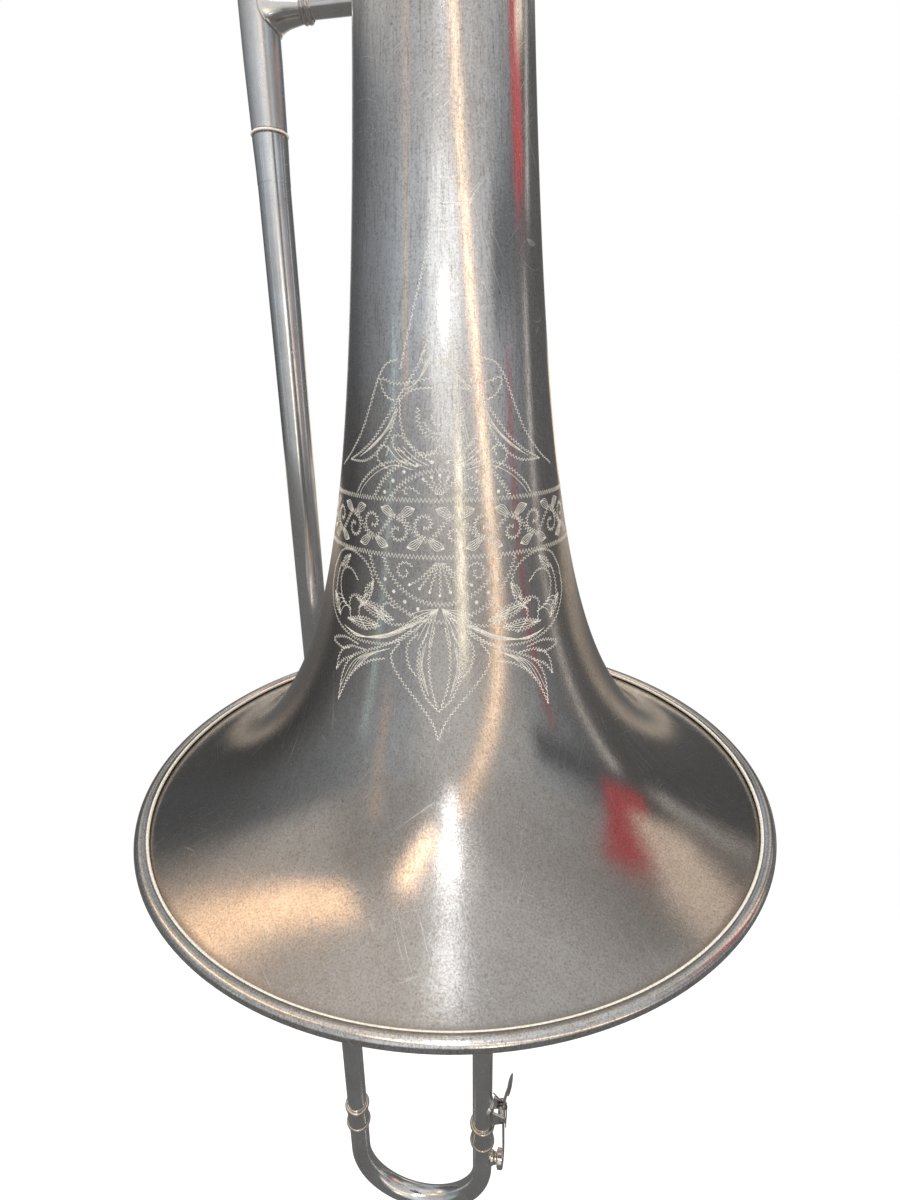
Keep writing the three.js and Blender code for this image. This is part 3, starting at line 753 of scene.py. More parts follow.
def brace_rod(node, body, out, rod):
    """The round bar between two feet, very slightly thicker at its middle."""
    low, high = box_mm(node)
    centre = (low + high) / 2
    direction = Vector(out)
    half = max(abs((high - low).dot(direction)) / 2, 1)
    shares = [k / 24 for k in range(25)]
    path = [centre + direction * half * (2 * share - 1) for share in shares]
    radii = [rod * (0.985 + 0.015 * math.sin(math.pi * share)) for share in shares]
    tube_along(f"{node}_visual", body, fitting_plate, path, radii, sides=48, replaces=[node])


def build_brace(name, body, ends, out, rod, wraps):
    """A brace between two upright tubes. ends holds (end name, (x, y), tube radius) for its two tubes."""
    for (end, tube, radius), way, wrap in zip(ends, (1, -1), wraps):
        brace_foot(f"{name}_foot_{end}", body, tube, radius, Vector(out) * way, rod, wrap)
    brace_rod(f"{name}_rod", body, out, rod)


def build_braces():
    neck = Round("neckpipe")
    neck_line = (neck.x, neck.y)
    towards_bell = (0, -1, 0)
    for name in ("front_brace", "rear_brace"):
        low, high = box_mm(f"{name}_rod")
        level = (low.z + high.z) / 2
        neck_radius = NECK_RADIUS + (neck.radius - NECK_RADIUS) * (level - neck.low) / neck.length
        stem_radius = horn(level - bell.low) + SHEET
        ends = [("neck", neck_line, neck_radius), ("bell", BELL_LINE, stem_radius)]
        build_brace(name, "bell_section", ends, towards_bell, ROD_RADIUS, (64, 33))
    ends = [
        ("neck", neck_line, Round("tuning_leg_neck").radius),
        ("bell", BELL_LINE, Round("tuning_leg_bell").radius),
    ]
    build_brace("tuning_brace", "tuning_slide", ends, towards_bell, ROD_RADIUS, (56, 44))

    mouth = Round("inner_tube_mouth")
    mouth_line = (mouth.x, mouth.y)
    towards_mouth = (-1, 0, 0)
    barrel = Round("cork_barrel_neck").radius - BEAD_REACH
    ends = [("neck", neck_line, barrel), ("mouth", mouth_line, barrel)]
    build_brace("inner_brace", "inner_slide", ends, towards_mouth, INNER_ROD_RADIUS, (60, 60))
    grip = Round("grip_sleeve_neck").radius
    ends = [("neck", neck_line, grip), ("mouth", mouth_line, grip)]
    build_brace("outer_brace", "outer_slide", ends, towards_mouth, ROD_RADIUS, (72, 72))


# ---------------------------------------------------------------- the tuning slide


def build_tuning_slide():
    body = "tuning_slide"
    bell_leg = Round("tuning_leg_bell")
    neck_leg = Round("tuning_leg_neck")
    crook_low = box_mm("tuning_crook")[0].z
    for end, leg in (("bell", bell_leg), ("neck", neck_leg)):
        plain_tube(f"tuning_leg_{end}", body, nickel_silver, 0.45, slot="nickel_silver")
        collar(f"tuning_ferrule_{end}", body, leg.radius + 0.05, leg.radius + 0.05, crook_low)
    half_span = (neck_leg.y - bell_leg.y) / 2
    stations = 96
    middle = (bell_leg.x, (bell_leg.y + neck_leg.y) / 2, crook_low)
    path = u_bend(middle, (0, 1, 0), half_span, 20, stations, opens=-1)
    widening = neck_leg.radius - bell_leg.radius
    outer = [bell_leg.radius + widening * k / stations - 0.05 for k in range(stations + 1)]
    inner = [radius - SHEET for radius in outer]
    tube_along("tuning_crook_visual", body, tube_plate_painted_cool, path, outer, inner, replaces=["tuning_crook"])


# ---------------------------------------------------------------- the hand slide


def build_inner_side(side):
    """One side of the inner slide: the tube with its thicker stocking, the cork barrel and the cork in it."""
    body = "inner_slide"
    node = f"inner_tube_{side}"
    tube = Round(node)
    wall = INNER_TUBE_RADIUS
    corners = [
        (wall - 0.2, 0), (tube.radius, 0), (tube.radius, 95), (wall, 97), (wall, tube.length), (wall - 0.2, tube.length),
    ]
    redraw(node, body, nickel_silver, corners, fillet=0.08, slot="nickel_silver")

    barrel = Round(f"cork_barrel_{side}")
    grip = Round("grip_sleeve_neck")
    wall = barrel.radius - BEAD_REACH
    mouth = grip.radius + 0.4
    bore = INNER_TUBE_RADIUS + 0.05
    top = barrel.length
    shoulder = grip.high + 21 - barrel.low
    corners = [
        (mouth, 0), *half_round(wall, COLLAR_BEAD, COLLAR_BEAD / 2), (wall, 4), (wall, top - 15),
        *half_round(wall, 1.8, top - 13), (7.9, top - 5), *half_round(7.5, 2, top - 1.6), (7.45, top),
        (bore, top), (bore, shoulder), (mouth, shoulder),
    ]
    redraw(f"cork_barrel_{side}", body, fitting_plate, corners)
    node = f"barrel_cork_{side}"
    plain_tube(node, body, cork, Round(node).radius - INNER_TUBE_RADIUS - 0.25, slot="cork")


def build_inner_slide():
    body = "inner_slide"
    for side in ("neck", "mouth"):
        build_inner_side(side)
    bore = INNER_TUBE_RADIUS + 0.05
    inner_top = Round("inner_tube_neck").high

    tenon = Round("slide_tenon")
    flange = Round("slide_receiver").low - 0.4 - tenon.low
    step = inner_top + 0.3 - tenon.low
    corners = [
        (bore, 0), (10.2, 0), *half_round(10.1, 2.4, 3.2, proud=0.5), (10.2, flange), (8.4, flange),
        (7.9, tenon.length), (6.6, tenon.length), (6.6, step), (bore, step),
    ]
    redraw("slide_tenon", body, fitting_plate, corners, fillet=0.15)

    holder = Round("mouthpiece_receiver")
    top = holder.length
    step = inner_top + 1 - holder.low
    corners = [
        (bore, 0), (7.9, 0), (7.55, 4), (7.4, 8), (7.5, 24), *half_round(7.55, 1.4, top - 8), (7.65, top - 5),
        *half_round(7.7, 3.4, top - 1.9), (7.5, top), (6.5, top), (5.62, step + 0.3), (bore, step),
    ]
    redraw("mouthpiece_receiver", body, fitting_plate, corners)

    top = Round("leadpipe").length
    corners = [(4.9, 0), (5.2, 0), (5.2, top - 24.5), (5.5, top - 19.5), (5.5, top), (5.15, top), (4.6, top - 34.5)]
    redraw("leadpipe", body, bare_brass, corners, fillet=0.08, slot="brass")


def build_outer_side(side, bow_high):
    """One side of the outer slide: the tube, its grip sleeve with a painted highlight ring at its lip, and two
    ferrules.
    """
    body = "outer_slide"
    node = f"outer_tube_{side}"
    plain_tube(node, body, slide_plate_painted_cool, 0.25)
    bore = Round(node).radius + 0.04

    grip = Round(f"grip_sleeve_{side}")
    corners = [
        (bore, 0), *half_round(6.62, 1.3, 0.65, proud=0.5), (6.7, 1.5), (6.76, 4), (grip.radius, 24),
        (grip.radius, grip.length), (bore, grip.length),
    ]
    redraw(f"grip_sleeve_{side}", body, tube_plate_painted_cool, corners, fillet=0.15)
    # A pale ring round the sleeve's lip: a painted highlight.
    painted_highlight_ring(f"grip_lip_{side}", body, (6.9, 0.65), 0.34, upright(grip.x, grip.y, grip.low))

    taper = Round(f"taper_ferrule_{side}")
    top = taper.length
    corners = [
        (bore, 0), (bore + 0.06, 0), (6.42, 4), (6.6, top - 6), (taper.radius, top - 1), (taper.radius, top), (bore, top),
    ]
    redraw(f"taper_ferrule_{side}", body, slide_plate_painted_cool, corners, fillet=0.1)
    collar(f"bow_ferrule_{side}", body, bore, bore, bow_high)


def build_outer_slide():
    body = "outer_slide"
    bow_low, bow_high = (corner.z for corner in box_mm("slide_bow"))
    for side in ("neck", "mouth"):
        build_outer_side(side, bow_high)

    neck_tube = Round("outer_tube_neck")
    mouth_tube = Round("outer_tube_mouth")
    radius = neck_tube.radius
    half_span = (neck_tube.x - mouth_tube.x) / 2
    stations = 96
    leg = bow_high - bow_low - radius - half_span
    middle = ((neck_tube.x + mouth_tube.x) / 2, neck_tube.y, bow_high)
    path = u_bend(middle, (1, 0, 0), half_span, leg, stations, opens=1)
    outer = [radius] * len(path)
    inner = [radius - 0.44] * len(path)
    tube_along("slide_bow_visual", body, slide_plate_painted_cool, path, outer, inner, replaces=["slide_bow"])

    corners = [
        (0, 0), (5, 0, 0.5), (6, 1.1, 0.5), (6, 3, 0.5), (4.6, 4.4, 0.5), (4.4, 6, 0.5), (5.5, 8.2, 0.3), (5.4, 9.2, 0.3),
        (0, 9.2),
    ]
    redraw("bow_tip", body, fitting_plate, corners, sides=64)


# ---------------------------------------------------------------- the water key


class Hinge:
    """The water key's hinge: the screw's middle, the tube beside it and the nipple below it."""

    def __init__(self):
        tube = Round("outer_tube_neck")
        screw_low, screw_high = box_mm("water_key_screw")
        saddle_low, saddle_high = box_mm("water_key_saddle")
        nipple_low, nipple_high = box_mm("water_nipple")
        self.tube = Vector((tube.x, tube.y, (saddle_low.z + saddle_high.z) / 2))
        self.tube_radius = tube.radius
        self.centre = Vector(((screw_low.x + screw_high.x) / 2, tube.y, self.tube.z))
        self.across = self.centre.x - tube.x
        self.nipple_z = (nipple_low.z + nipple_high.z) / 2
        self.nipple_reach = nipple_high.x - tube.x


def ear_plate(name, body, outline, thickness, place):
    """A flat plate from an outline of (x, z) corners, centred on y = 0, with rounded edges."""
    rings = [[place @ Vector((x, side * thickness / 2, z)) for x, z in outline] for side in (-1, 1)]
    piece = skin(name, body, fitting_plate, rings)
    soft = piece.modifiers.new("rounded edges", "BEVEL")
    soft.width = 0.25 * MM
    soft.segments = 3
    soft.limit_method = "ANGLE"
    soft.angle_limit = math.radians(40)
    soft.harden_normals = False


def build_saddle(hinge, body):
    """The saddle that hugs the tube, and the two ears that stand on it."""
    stations = 32
    rings = []
    for k in range(stations + 1):
        angle = math.radians(-58 + 116 * k / stations)
        half_height = 7 * (1 - 0.35 * abs(2 * k / stations - 1) ** 3)
        ring = []
        for radius, z in ((7.4, -1), (7.4, 1), (hinge.tube_radius + 0.06, 1), (hinge.tube_radius + 0.06, -1)):
            at = Vector((radius * math.cos(angle), radius * math.sin(angle), z * half_height))
            ring.append(hinge.tube + at)
        rings.append(ring)
    skin("water_key_saddle_visual", body, fitting_plate, rings, replaces=["water_key_saddle"])

    ear = [(7, -5.6), *arc_points((hinge.across, 0), 3, -80, 80, 16), (7, 5.6)]
    for side, y in (("front", -4.6), ("back", 4.6)):
        ear_plate(f"water_key_ear_{side}", body, ear, 1.4, Matrix.Translation(hinge.tube + Vector((0, y, 0))))


def build_spring(hinge):
    """The coil round the screw, with one leg down the lever and one up the tube."""
    coil = 3.05
    bends = 60
    points = [Vector((2.55, 0.5, -15)), Vector((2.7, 0.8, -9)), Vector((2.9, 1.3, -4))]
    for k in range(bends + 1):
        angle = math.pi / 2 - math.radians(405) * k / bends
        points.append(Vector((coil * math.sin(angle), 1.75 + 1.55 * k / bends, coil * math.cos(angle))))
    points += [Vector((-2.2, 3.3, 6.5)), Vector((-5.75, 3.3, 10.8))]
    path = [hinge.centre + p for p in smooth_line(points, per_span=4)]
    spring = tube_along("water_key_spring_visual", None, steel, path, [0.38] * len(path), sides=12,
                        replaces=["water_key_spring"], slot="steel")
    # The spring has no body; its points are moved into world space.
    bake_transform(spring)


def build_water_key():
    hinge = Hinge()
    mount = "outer_slide"
    nipple = [(1.6, 5.6), (4.2, 5.6), (4.2, 7.2), (3.6, 7.9), (3.4, 8.4), (3.4, hinge.nipple_reach), (1.6, hinge.nipple_reach)]
    place = along_x(hinge.tube.x, hinge.tube.y, hinge.nipple_z)
    turned("water_nipple_visual", mount, fitting_plate, soften(nipple, 0.2), place, 48, replaces=["water_nipple"])
    build_saddle(hinge, mount)
    screw = [(0, -6.2), (1.2, -6.2), (1.2, 5.6), (2.3, 5.6), (2.3, 6.5), (1.9, 6.95), (0, 7)]
    turned("water_key_screw_visual", mount, steel, soften(screw, 0.15), along_y(*hinge.centre), 40,
           replaces=["water_key_screw"], slot="steel")
    build_spring(hinge)
    build_lever(hinge)
    build_touch(hinge)


def squared(value):
    """A cosine or sine pushed outwards, which turns a circle into a rounded rectangle."""
    return math.copysign(abs(value) ** 0.6, value)


def build_lever(hinge):
    """The arm, hub, cup and pad. +X is away from the tube and +Z up it."""
    body = "water_key"
    drop = hinge.nipple_z - hinge.centre.z
    middle = smooth_line([(0.9, drop), (1.4, drop + 10), (1, -10), (0.5, 0), (1.7, 12), (4.2, 24)], 10)
    last = len(middle) - 1
    rings = []
    for k, point in enumerate(middle):
        ahead = middle[min(k + 1, last)] - middle[max(k - 1, 0)]
        normal = Vector((ahead.y, -ahead.x)).normalized()
        half_width = (2.6 + 0.9 * math.sin(math.pi * k / last)) / 2
        ring = []
        for a in around(20):
            off = normal * squared(math.sin(a)) * 0.75
            at = Vector((point.x + off.x, squared(math.cos(a)) * half_width, point.y + off.y))
            ring.append(hinge.centre + at)
        rings.append(ring)
    skin("water_key_lever_visual", body, fitting_plate, rings, replaces=["water_key_lever"])
    hub = soften([(1.5, -3.5), (2.4, -3.5), (2.4, 3.5), (1.5, 3.5)], 0.25)
    turned("water_key_hub", body, fitting_plate, hub, along_y(*hinge.centre), 40)

    place = along_x(hinge.centre.x, hinge.centre.y, hinge.nipple_z)
    cup = soften([(0, -1), (4.9, -1), (4.9, -2.4), (5.6, -2.4), (5.6, 0.5), (4.6, 1.4), (1.8, 1.7), (0, 1.9)], 0.3)
    turned("water_key_cup", body, fitting_plate, cup, place, 56)
    pad = soften([(0, -2.8), (4.7, -2.8), (4.7, -1.1), (0, -1.1)], 0.3)
    turned("water_key_pad_visual", body, cork, pad, place, 56, replaces=["water_key_pad"], slot="cork")


def build_touch(hinge):
    """The dished oval at the top of the lever that the player's thumb presses."""
    ball = bmesh.new()
    bmesh.ops.create_uvsphere(ball, u_segments=40, v_segments=24, radius=1)
    centre = hinge.centre + Vector((4.6, 0, 26))
    tilt = Matrix.Rotation(0.2, 4, "Y")
    verts = []
    for v in ball.verts:
        dish = 0.5 * (1 - v.co.y**2 - v.co.z**2)
        verts.append(centre + tilt @ Vector((v.co.x * 0.8 - dish + 0.3, v.co.y * 5, v.co.z * 7.8)))
    faces = [tuple(v.index for v in face.verts) for face in ball.faces]
    ball.free()
    new_piece("water_key_touch", "water_key", fitting_plate, verts, faces)


# ---------------------------------------------------------------- the mouthpiece


def build_mouthpiece():
    stem = [(6.35, 36), (6.8, 37.2), (6.9, 38.4), (6.75, 39.4), (7.1, 43), (8.6, 49), (11.4, 55), (14.1, 60), (15.9, 66),
            (16.6, 71), (16.9, 74.2)]
    band = [(18.6, 75.6), (19.35, 76.4), (19.4, 77.2), (18.9, 78.3)]
    rim = arc_points((16, 79.2), 2.75, 10, 165, 18)
    cup = smooth_line([(12.8, 78.4), (12.4, 72), (10.8, 63), (7, 54.5), (3.5, 48.5)], 6)
    throat = [(3.1, 46), (3.1, 41), (4.3, 12)]
    corners = [(4.75, 0), (5.45, 0), *smooth_line(stem, 4), *band, *rim, *cup, *throat]
    corners = [tuple(corner) for corner in corners]
    redraw("mouthpiece", "mouthpiece", fitting_plate, corners, fillet=0.3, sides=96)


# ---------------------------------------------------------------- the engraving

ENGRAVING_TURN = 4.3  # degrees from -Y towards +X of the ornament's middle line
BAND_LEVEL = 79.5  # height of the ornament's band above the rim
CUT_WIDTH = 0.3
CUT_HEIGHT = 0.05
CUT_ROOT = -0.02  # the ridges' edges lie this deep in the bell's wall


def on_bell(point, lift):
    """The place on the bell's outside of an ornament point: arc from the middle line, and level above the band."""
    radius, z = flare_point(BAND_LEVEL + point.y, SHEET + lift)
    angle = math.radians(ENGRAVING_TURN) + point.x / radius
    return Vector((bell.x + radius * math.sin(angle), bell.y - radius * math.cos(angle), bell.low + z))


def resampled(line, step):
    """The line's points moved to equal distances of about one step."""
    lengths = [0]
    for a, b in zip(line, line[1:]):
        lengths.append(lengths[-1] + (b - a).length)
    count = max(2, round(lengths[-1] / step))
    points = []
    span = 0
    for k in range(count + 1):
        target = lengths[-1] * k / count
        while span < len(line) - 2 and lengths[span + 1] < target:
            span += 1
        gap = lengths[span + 1] - lengths[span]
        share = (target - lengths[span]) / gap if gap else 0
        points.append(line[span].lerp(line[span + 1], share))
    return points


def squares(line):
    """For each point of a line, the unit vector square to it."""
    last = len(line) - 1
    found = []
    for k in range(last + 1):
        ahead = (line[min(k + 1, last)] - line[max(k - 1, 0)]).normalized()
        found.append(Vector((-ahead.y, ahead.x)))
    return found


def zigzag(line, pitch, width, taper=0.0):
    """A zigzag either side of the line, narrowing to its ends by the taper."""
    points = resampled(line, pitch / 2)
    last = len(points) - 1
    zig = []
    for k, (point, square) in enumerate(zip(points, squares(points))):
        swell = 1 - taper + taper * math.sin(math.pi * k / last)
        zig.append(point + square * (width / 2 * swell * (1 if k % 2 else -1)))
    return zig


def circle_line(centre, radius, start, end, steps=72):
    return [Vector(point) for point in arc_points(centre, radius, start, end, steps)]


class Engraving:
    """Collects cut lines as thin three-sided ridges that stand in the bell's wall."""

    def __init__(self):
        self.verts = []
        self.faces = []

    def ridge(self, line, width=CUT_WIDTH):
        if len(line) < 2:
            return
        start = len(self.verts)
        for point, square in zip(line, squares(line)):
            half = square * (width / 2)
            self.verts += [on_bell(point - half, CUT_ROOT), on_bell(point, CUT_HEIGHT), on_bell(point + half, CUT_ROOT)]
        for a in range(start, len(self.verts) - 3, 3):
            self.faces += [(a, a + 3, a + 4, a + 1), (a + 1, a + 4, a + 5, a + 2)]

    def wriggle(self, line):
        """The rocked zigzag cut that draws the stems and leaves."""
        self.ridge(zigzag(line, 0.9, 0.62, taper=0.5))

    def beading(self, line, width=0.95, pitch=0.9):
        """The bold rope cut that borders the band and the medallion."""
        self.ridge(zigzag(line, pitch, width), width=0.4)

    def hair(self, line):
        """A single fine cut."""
        self.ridge(resampled(line, 0.4), width=0.2)

    def dashes(self, line, dash=1.5, gap=0.5):
        step = 0.25
        points = resampled(line, step)
        for k in range(0, len(points) - 2, round((dash + gap) / step)):
            self.ridge(zigzag(points[k : k + round(dash / step) + 1], 0.8, 0.45), width=0.32)

    def stud(self, middle, size=0.62):
        """A little star of cuts."""
        for k in range(3):
            arm = Vector((math.cos(math.pi * k / 3), math.sin(math.pi * k / 3))) * size
            self.ridge([middle - arm, middle, middle + arm], width=0.34)

    def both(self, draw, *strokes):
        """Draws each stroke, a list of points, and its mirror image either side of the middle line."""
        for points in strokes:
            draw(smooth_line(points))
            draw(smooth_line([(-x, y) for x, y in points]))

    def hairs(self, count, first, shift):
        """A row of fine cuts and its mirror image. shift is how far each point moves from cut to cut."""
        for k in range(count):
            self.both(self.hair, [(x + k * dx, y + k * dy) for (x, y), (dx, dy) in zip(first, shift)])


def engrave_spire(cut):
    """The tall dashed arch above the medallion, with a flame inside it."""
    cut.both(cut.dashes, [(0.2, 66), (2.2, 57), (5, 47), (7.6, 38), (8.8, 33.5)])
    cut.both(cut.beading, [(0, 46.4), (2.6, 42), (2.8, 37.6), (1.2, 34.4), (0, 33)])
    cut.both(
        cut.wriggle,
        [(2.2, 40.4), (4, 35.4), (7, 31), (9.8, 27.4)],
        [(0, 36), (1.6, 34.6), (3.9, 35.4), (3.2, 37.4)],
    )
    cut.hairs(3, [(1.2, 37.6), (3, 33.4), (6.4, 29.4)], [(0.7, -1), (0.8, -1), (0.7, 0)])


def engrave_crest(cut):
    """The scroll in a ring under the spire, with leaves sweeping out either side."""
    cut.beading(circle_line((0, 24), 4.9, -200, 20))
    cut.dashes(smooth_line(arc_points((0, 23.4), 3.5, -170, 330, 14, end_radius=0.9)), 1.1, 0.35)
    cut.both(cut.wriggle, [(5.2, 13.4), (10, 14.6), (15.6, 13), (20.4, 9.6), (22.6, 6.9)])
    cut.both(cut.hair, [(6, 12.7), (10.6, 13.6), (15.4, 12), (19.8, 8.8), (21.4, 6.9)])
    cut.both(
        cut.wriggle,
        [(9, 27.6), (8.8, 22), (6.4, 17.8), (2.4, 15.8), (0, 18)],
        [(9.4, 35.8), (12.6, 34.8), (15, 31.6), (17.4, 26.6), (20.8, 20.6), (26, 15.6), (31.6, 12.6)],
        [(0.2, 32.2), (5, 31.2), (10, 30.8), (14, 32), (12.9, 28.7), (10.4, 27.2)],
        [(1.4, 29.8), (6, 29.4), (9.4, 27.2), (12.6, 23.6), (16, 19.6), (20.6, 16.4), (26, 14.2)],
        [(26, 14.2), (19.4, 14.3), (14.8, 16.8), (11.6, 20.8), (9.6, 25.6)],
    )
    cut.hairs(5, [(9.8, 26), (12.6, 21.4), (18, 16.9)], [(0.27, -0.9), (0.9, -0.9), (0.9, -0.45)])
    cut.both(
        cut.wriggle,
        [(1.8, 14.4), (5.4, 16.6), (8.8, 19.9), (11, 19.6), (10.6, 17.4), (8, 16.4)],
        [(12.6, 12.8), (15.4, 15), (14.6, 17.6), (12.2, 17.4), (12.8, 15.6)],
    )
    cut.hairs(4, [(2.4, 13.6), (5.6, 15.2), (8.4, 17.6)], [(1.6, 0), (1.5, 0), (1.3, 0)])


def engrave_fan(cut, root, tip, spacing, pairs):
    """A fan of leaves from one level to another, each with a stud at its tip."""
    for spread in range(-pairs, pairs + 1):
        end = Vector((spread * spacing * 1.25, tip - (tip - root) * 0.1 * abs(spread)))
        middle = (spread * spacing * 0.8, (root + tip) / 2)
        cut.wriggle(smooth_line([(spread * 0.3, root), middle, end]))
        cut.stud(end, 0.35)


def engrave_medallion(cut, half):
    """Two beaded rings behind the band of this half height, with studs between them."""
    centre = Vector((0, -2))
    for radius in (14.6, 18.4):
        upper = math.degrees(math.asin((half - centre.y + 0.6) / radius))
        lower = math.degrees(math.asin((half + centre.y + 0.6) / radius))
        cut.beading(circle_line(centre, radius, upper, 180 - upper))
        cut.beading(circle_line(centre, radius, 180 + lower, 360 - lower))
    for degrees in range(36, 150, 12):
        for flip in (1, -1):
            angle = math.radians(degrees)
            cut.stud(centre + Vector((math.cos(angle), flip * math.sin(angle))) * 16.5, 0.45)


def engrave_vine(cut, reach):
    """A running vine along the band, with a curl and a pair of leaves in each of its bays."""
    wave = 13.5
    vine = [(x / 2, 2.7 * math.sin(TAU * x / 2 / wave)) for x in range(-2 * reach, 2 * reach + 1, 3)]
    cut.beading(smooth_line(vine, 4))
    for k in range(-7, 8):
        foot = wave * (k / 2 + 0.25)
        if abs(foot) > reach - 4:
            continue
        flip = 1 if k % 2 == 0 else -1
        curl = arc_points((foot, flip * -0.9), 2.9, 90 * flip, 90 * flip - 400, 12, end_radius=0.7)
        cut.beading(smooth_line(curl, 3), 0.7, 0.8)
        for lean in (-1, 1):
            tip = (foot + lean * 4.4, flip * 4.3)
            for share in range(5):
                low = (foot + lean * (0.6 + share * 0.25), flip * (2.7 - share * 0.12))
                middle = (foot + lean * (2.3 + share * 0.28), flip * (4.7 - share * 0.4))
                cut.hair(smooth_line([low, middle, tip]))


def engrave_band(cut):
    """The full-width band with its vine, and the beaded medallion behind it with its two fans."""
    reach = 47
    half = 6.2
    for level in (half, -half):
        cut.beading([Vector((x, level)) for x in range(-reach, reach + 1)])
    engrave_medallion(cut, half)
    engrave_vine(cut, reach)
    engrave_fan(cut, 7.4, 11.6, 1.5, 2)
    engrave_fan(cut, -7.4, -14.6, 1.9, 3)
    curl = arc_points((8.4, -9.6), 2.3, 150, -230, 10, end_radius=0.6)
    cut.both(cut.wriggle, curl, [(4.6, 7.6), (6.8, 8.9), (8.6, 8.2), (7.6, 7.4)])


def engrave_leaf(cut, root, tip, bulge, veins=3):
    """A pointed leaf and its mirror image, with fine veins. bulge is half its width."""
    root, tip = Vector(root), Vector(tip)
    square = Vector((root.y - tip.y, tip.x - root.x)).normalized() * bulge
    for side in (1, -1):
        cut.both(cut.wriggle, [root, root.lerp(tip, 0.45) + square * side, tip])
    for k in range(veins):
        share = (k + 1) / (veins + 1) * 2 - 1
        middle = root.lerp(tip, 0.5) + square * share
        cut.both(cut.hair, [root.lerp(tip, 0.1), middle, root.lerp(tip, 0.9)])


def engrave_scrolls(cut):
    """The big scrolls and acanthus leaves that hang either side below the band."""
    engrave_leaf(cut, (11, -20.6), (22.4, -17.2), 1.3)
    engrave_leaf(cut, (14.6, -22.4), (25.4, -22.6), 1.2)
    engrave_leaf(cut, (19.6, -16.8), (16.6, -12.6), 0.9, 2)
    engrave_leaf(cut, (29.2, -11.2), (25, -7.8), 0.9, 2)
    engrave_leaf(cut, (32.4, -17.8), (28.6, -22.6), 1.0, 2)
    cut.both(
        cut.wriggle,
        [(21.4, -19.4), (17.8, -16.4), (17, -12), (19.4, -8.4), (24.6, -6.6), (30, -7.8), (33.6, -12)],
        [(33.6, -12), (34.4, -17.4), (31.4, -22.6), (26, -25.6), (19, -26.6), (10, -25.2), (2.4, -19.4)],
        [(21.8, -13.2), (24.6, -11), (28, -11.6), (29.4, -14.8), (28, -18.6), (24.2, -20.4)],
        [(24.2, -22.8), (24.8, -18.2), (22.4, -16.7), (19.2, -17)],
        [(30.8, -20.4), (31.6, -17), (31, -13.2), (29.4, -10.4)],
        [(18.4, -24), (21.2, -21.2), (20.4, -18.4), (17, -18.4), (15.2, -20.6), (16.2, -23.4)],
        [(10.6, -18), (12.8, -16.9), (14.4, -18.8), (13.4, -21), (11.2, -20.6)],
    )
    cut.hairs(6, [(8, -22.6), (14, -25), (22, -25.8)], [(1.26, -0.36), (1.44, -0.18), (0.9, 0.27)])
    cut.hairs(4, [(25.4, -19.6), (27.4, -20.4), (28.6, -22)], [(0.8, 0.5), (1, 0.8), (1, 1)])
    cut.both(
        cut.wriggle,
        [(6.6, -22.4), (11.4, -25.6), (17.6, -28.2), (22.8, -30.6), (26, -34.6), (27, -41)],
        [(27, -41), (24.6, -36.6), (21.4, -33), (17.4, -30.6), (13.2, -29.4)],
        [(18.8, -28.4), (24, -28.6), (27.6, -31), (28.8, -35)],
        [(28.8, -35), (26.4, -32.4), (22.8, -30.6)],
        [(21, -27.6), (26, -27), (31, -28.6), (27, -29.6), (24, -29)],
    )
    cut.hairs(5, [(12, -27), (17, -29.2), (20.6, -32.2)], [(1.5, -0.45), (1.5, -0.75), (1.5, -1.5)])


def engrave_bud(cut):
    """The pointed bud at the foot of the ornament, and the fan of cuts that its stalk springs from."""
    cut.both(
        cut.wriggle,
        [(9.4, -25.4), (11.6, -28.4), (10.6, -31.4), (7.6, -35), (4, -38.8), (1.4, -42), (0, -45.4)],
        [(5, -23), (7.6, -26), (7.2, -30), (5.4, -32.4)],
        [(2.6, -22.4), (4.8, -27), (4.7, -32.6), (2.8, -37), (0, -39.6)],
        [(1.2, -21.6), (2.4, -28), (2, -34), (0.5, -38.6)],
    )
    cut.hairs(3, [(3.2, -25), (4, -30), (3, -34.4)], [(0.6, -1), (0.2, -1), (-0.3, -1)])
    for step in range(7):
        fall = math.radians(12 * step)
        way = Vector((math.cos(fall), -math.sin(fall)))
        cut.both(cut.hair, [(0.4, -17.6), Vector((0.6, -18)) + way * 3.4, Vector((0.4, -19.2)) + way * 7])
    cut.hairs(5, [(3.4, -20), (7.4, -22), (11, -23.6)], [(1, -0.3), (1.4, -0.5), (2, -0.5)])
    cut.both(cut.wriggle, [(0.4, -17.4), (4.4, -19.8), (8.8, -21.4), (13.4, -21.2), (16.4, -18.2)])


def build_engraving():
    cut = Engraving()
    engrave_spire(cut)
    engrave_crest(cut)
    engrave_band(cut)
    engrave_scrolls(cut)
    engrave_bud(cut)
    new_piece("bell_engraving", "bell_section", cut_silver, cut.verts, cut.faces, sharp_at=12)


# ---------------------------------------------------------------- camera, light and floor

CAMERA_TURN = 8.8  # degrees round the bell from -Y towards +X
CAMERA_PITCH = 18.3  # looking down
CAMERA_ROLL = -0.82
LENS = 18  # millimetres on a 36 mm frame height
RIM_IN_VIEW = Vector((1.1, -50.4, -186.8))  # the rim's centre in the camera's right, up and back, in millimetres
PEACH = (2.3, 1.62, 1.1)

camera_turn = Matrix.Rotation(math.radians(CAMERA_TURN), 3, "Z")


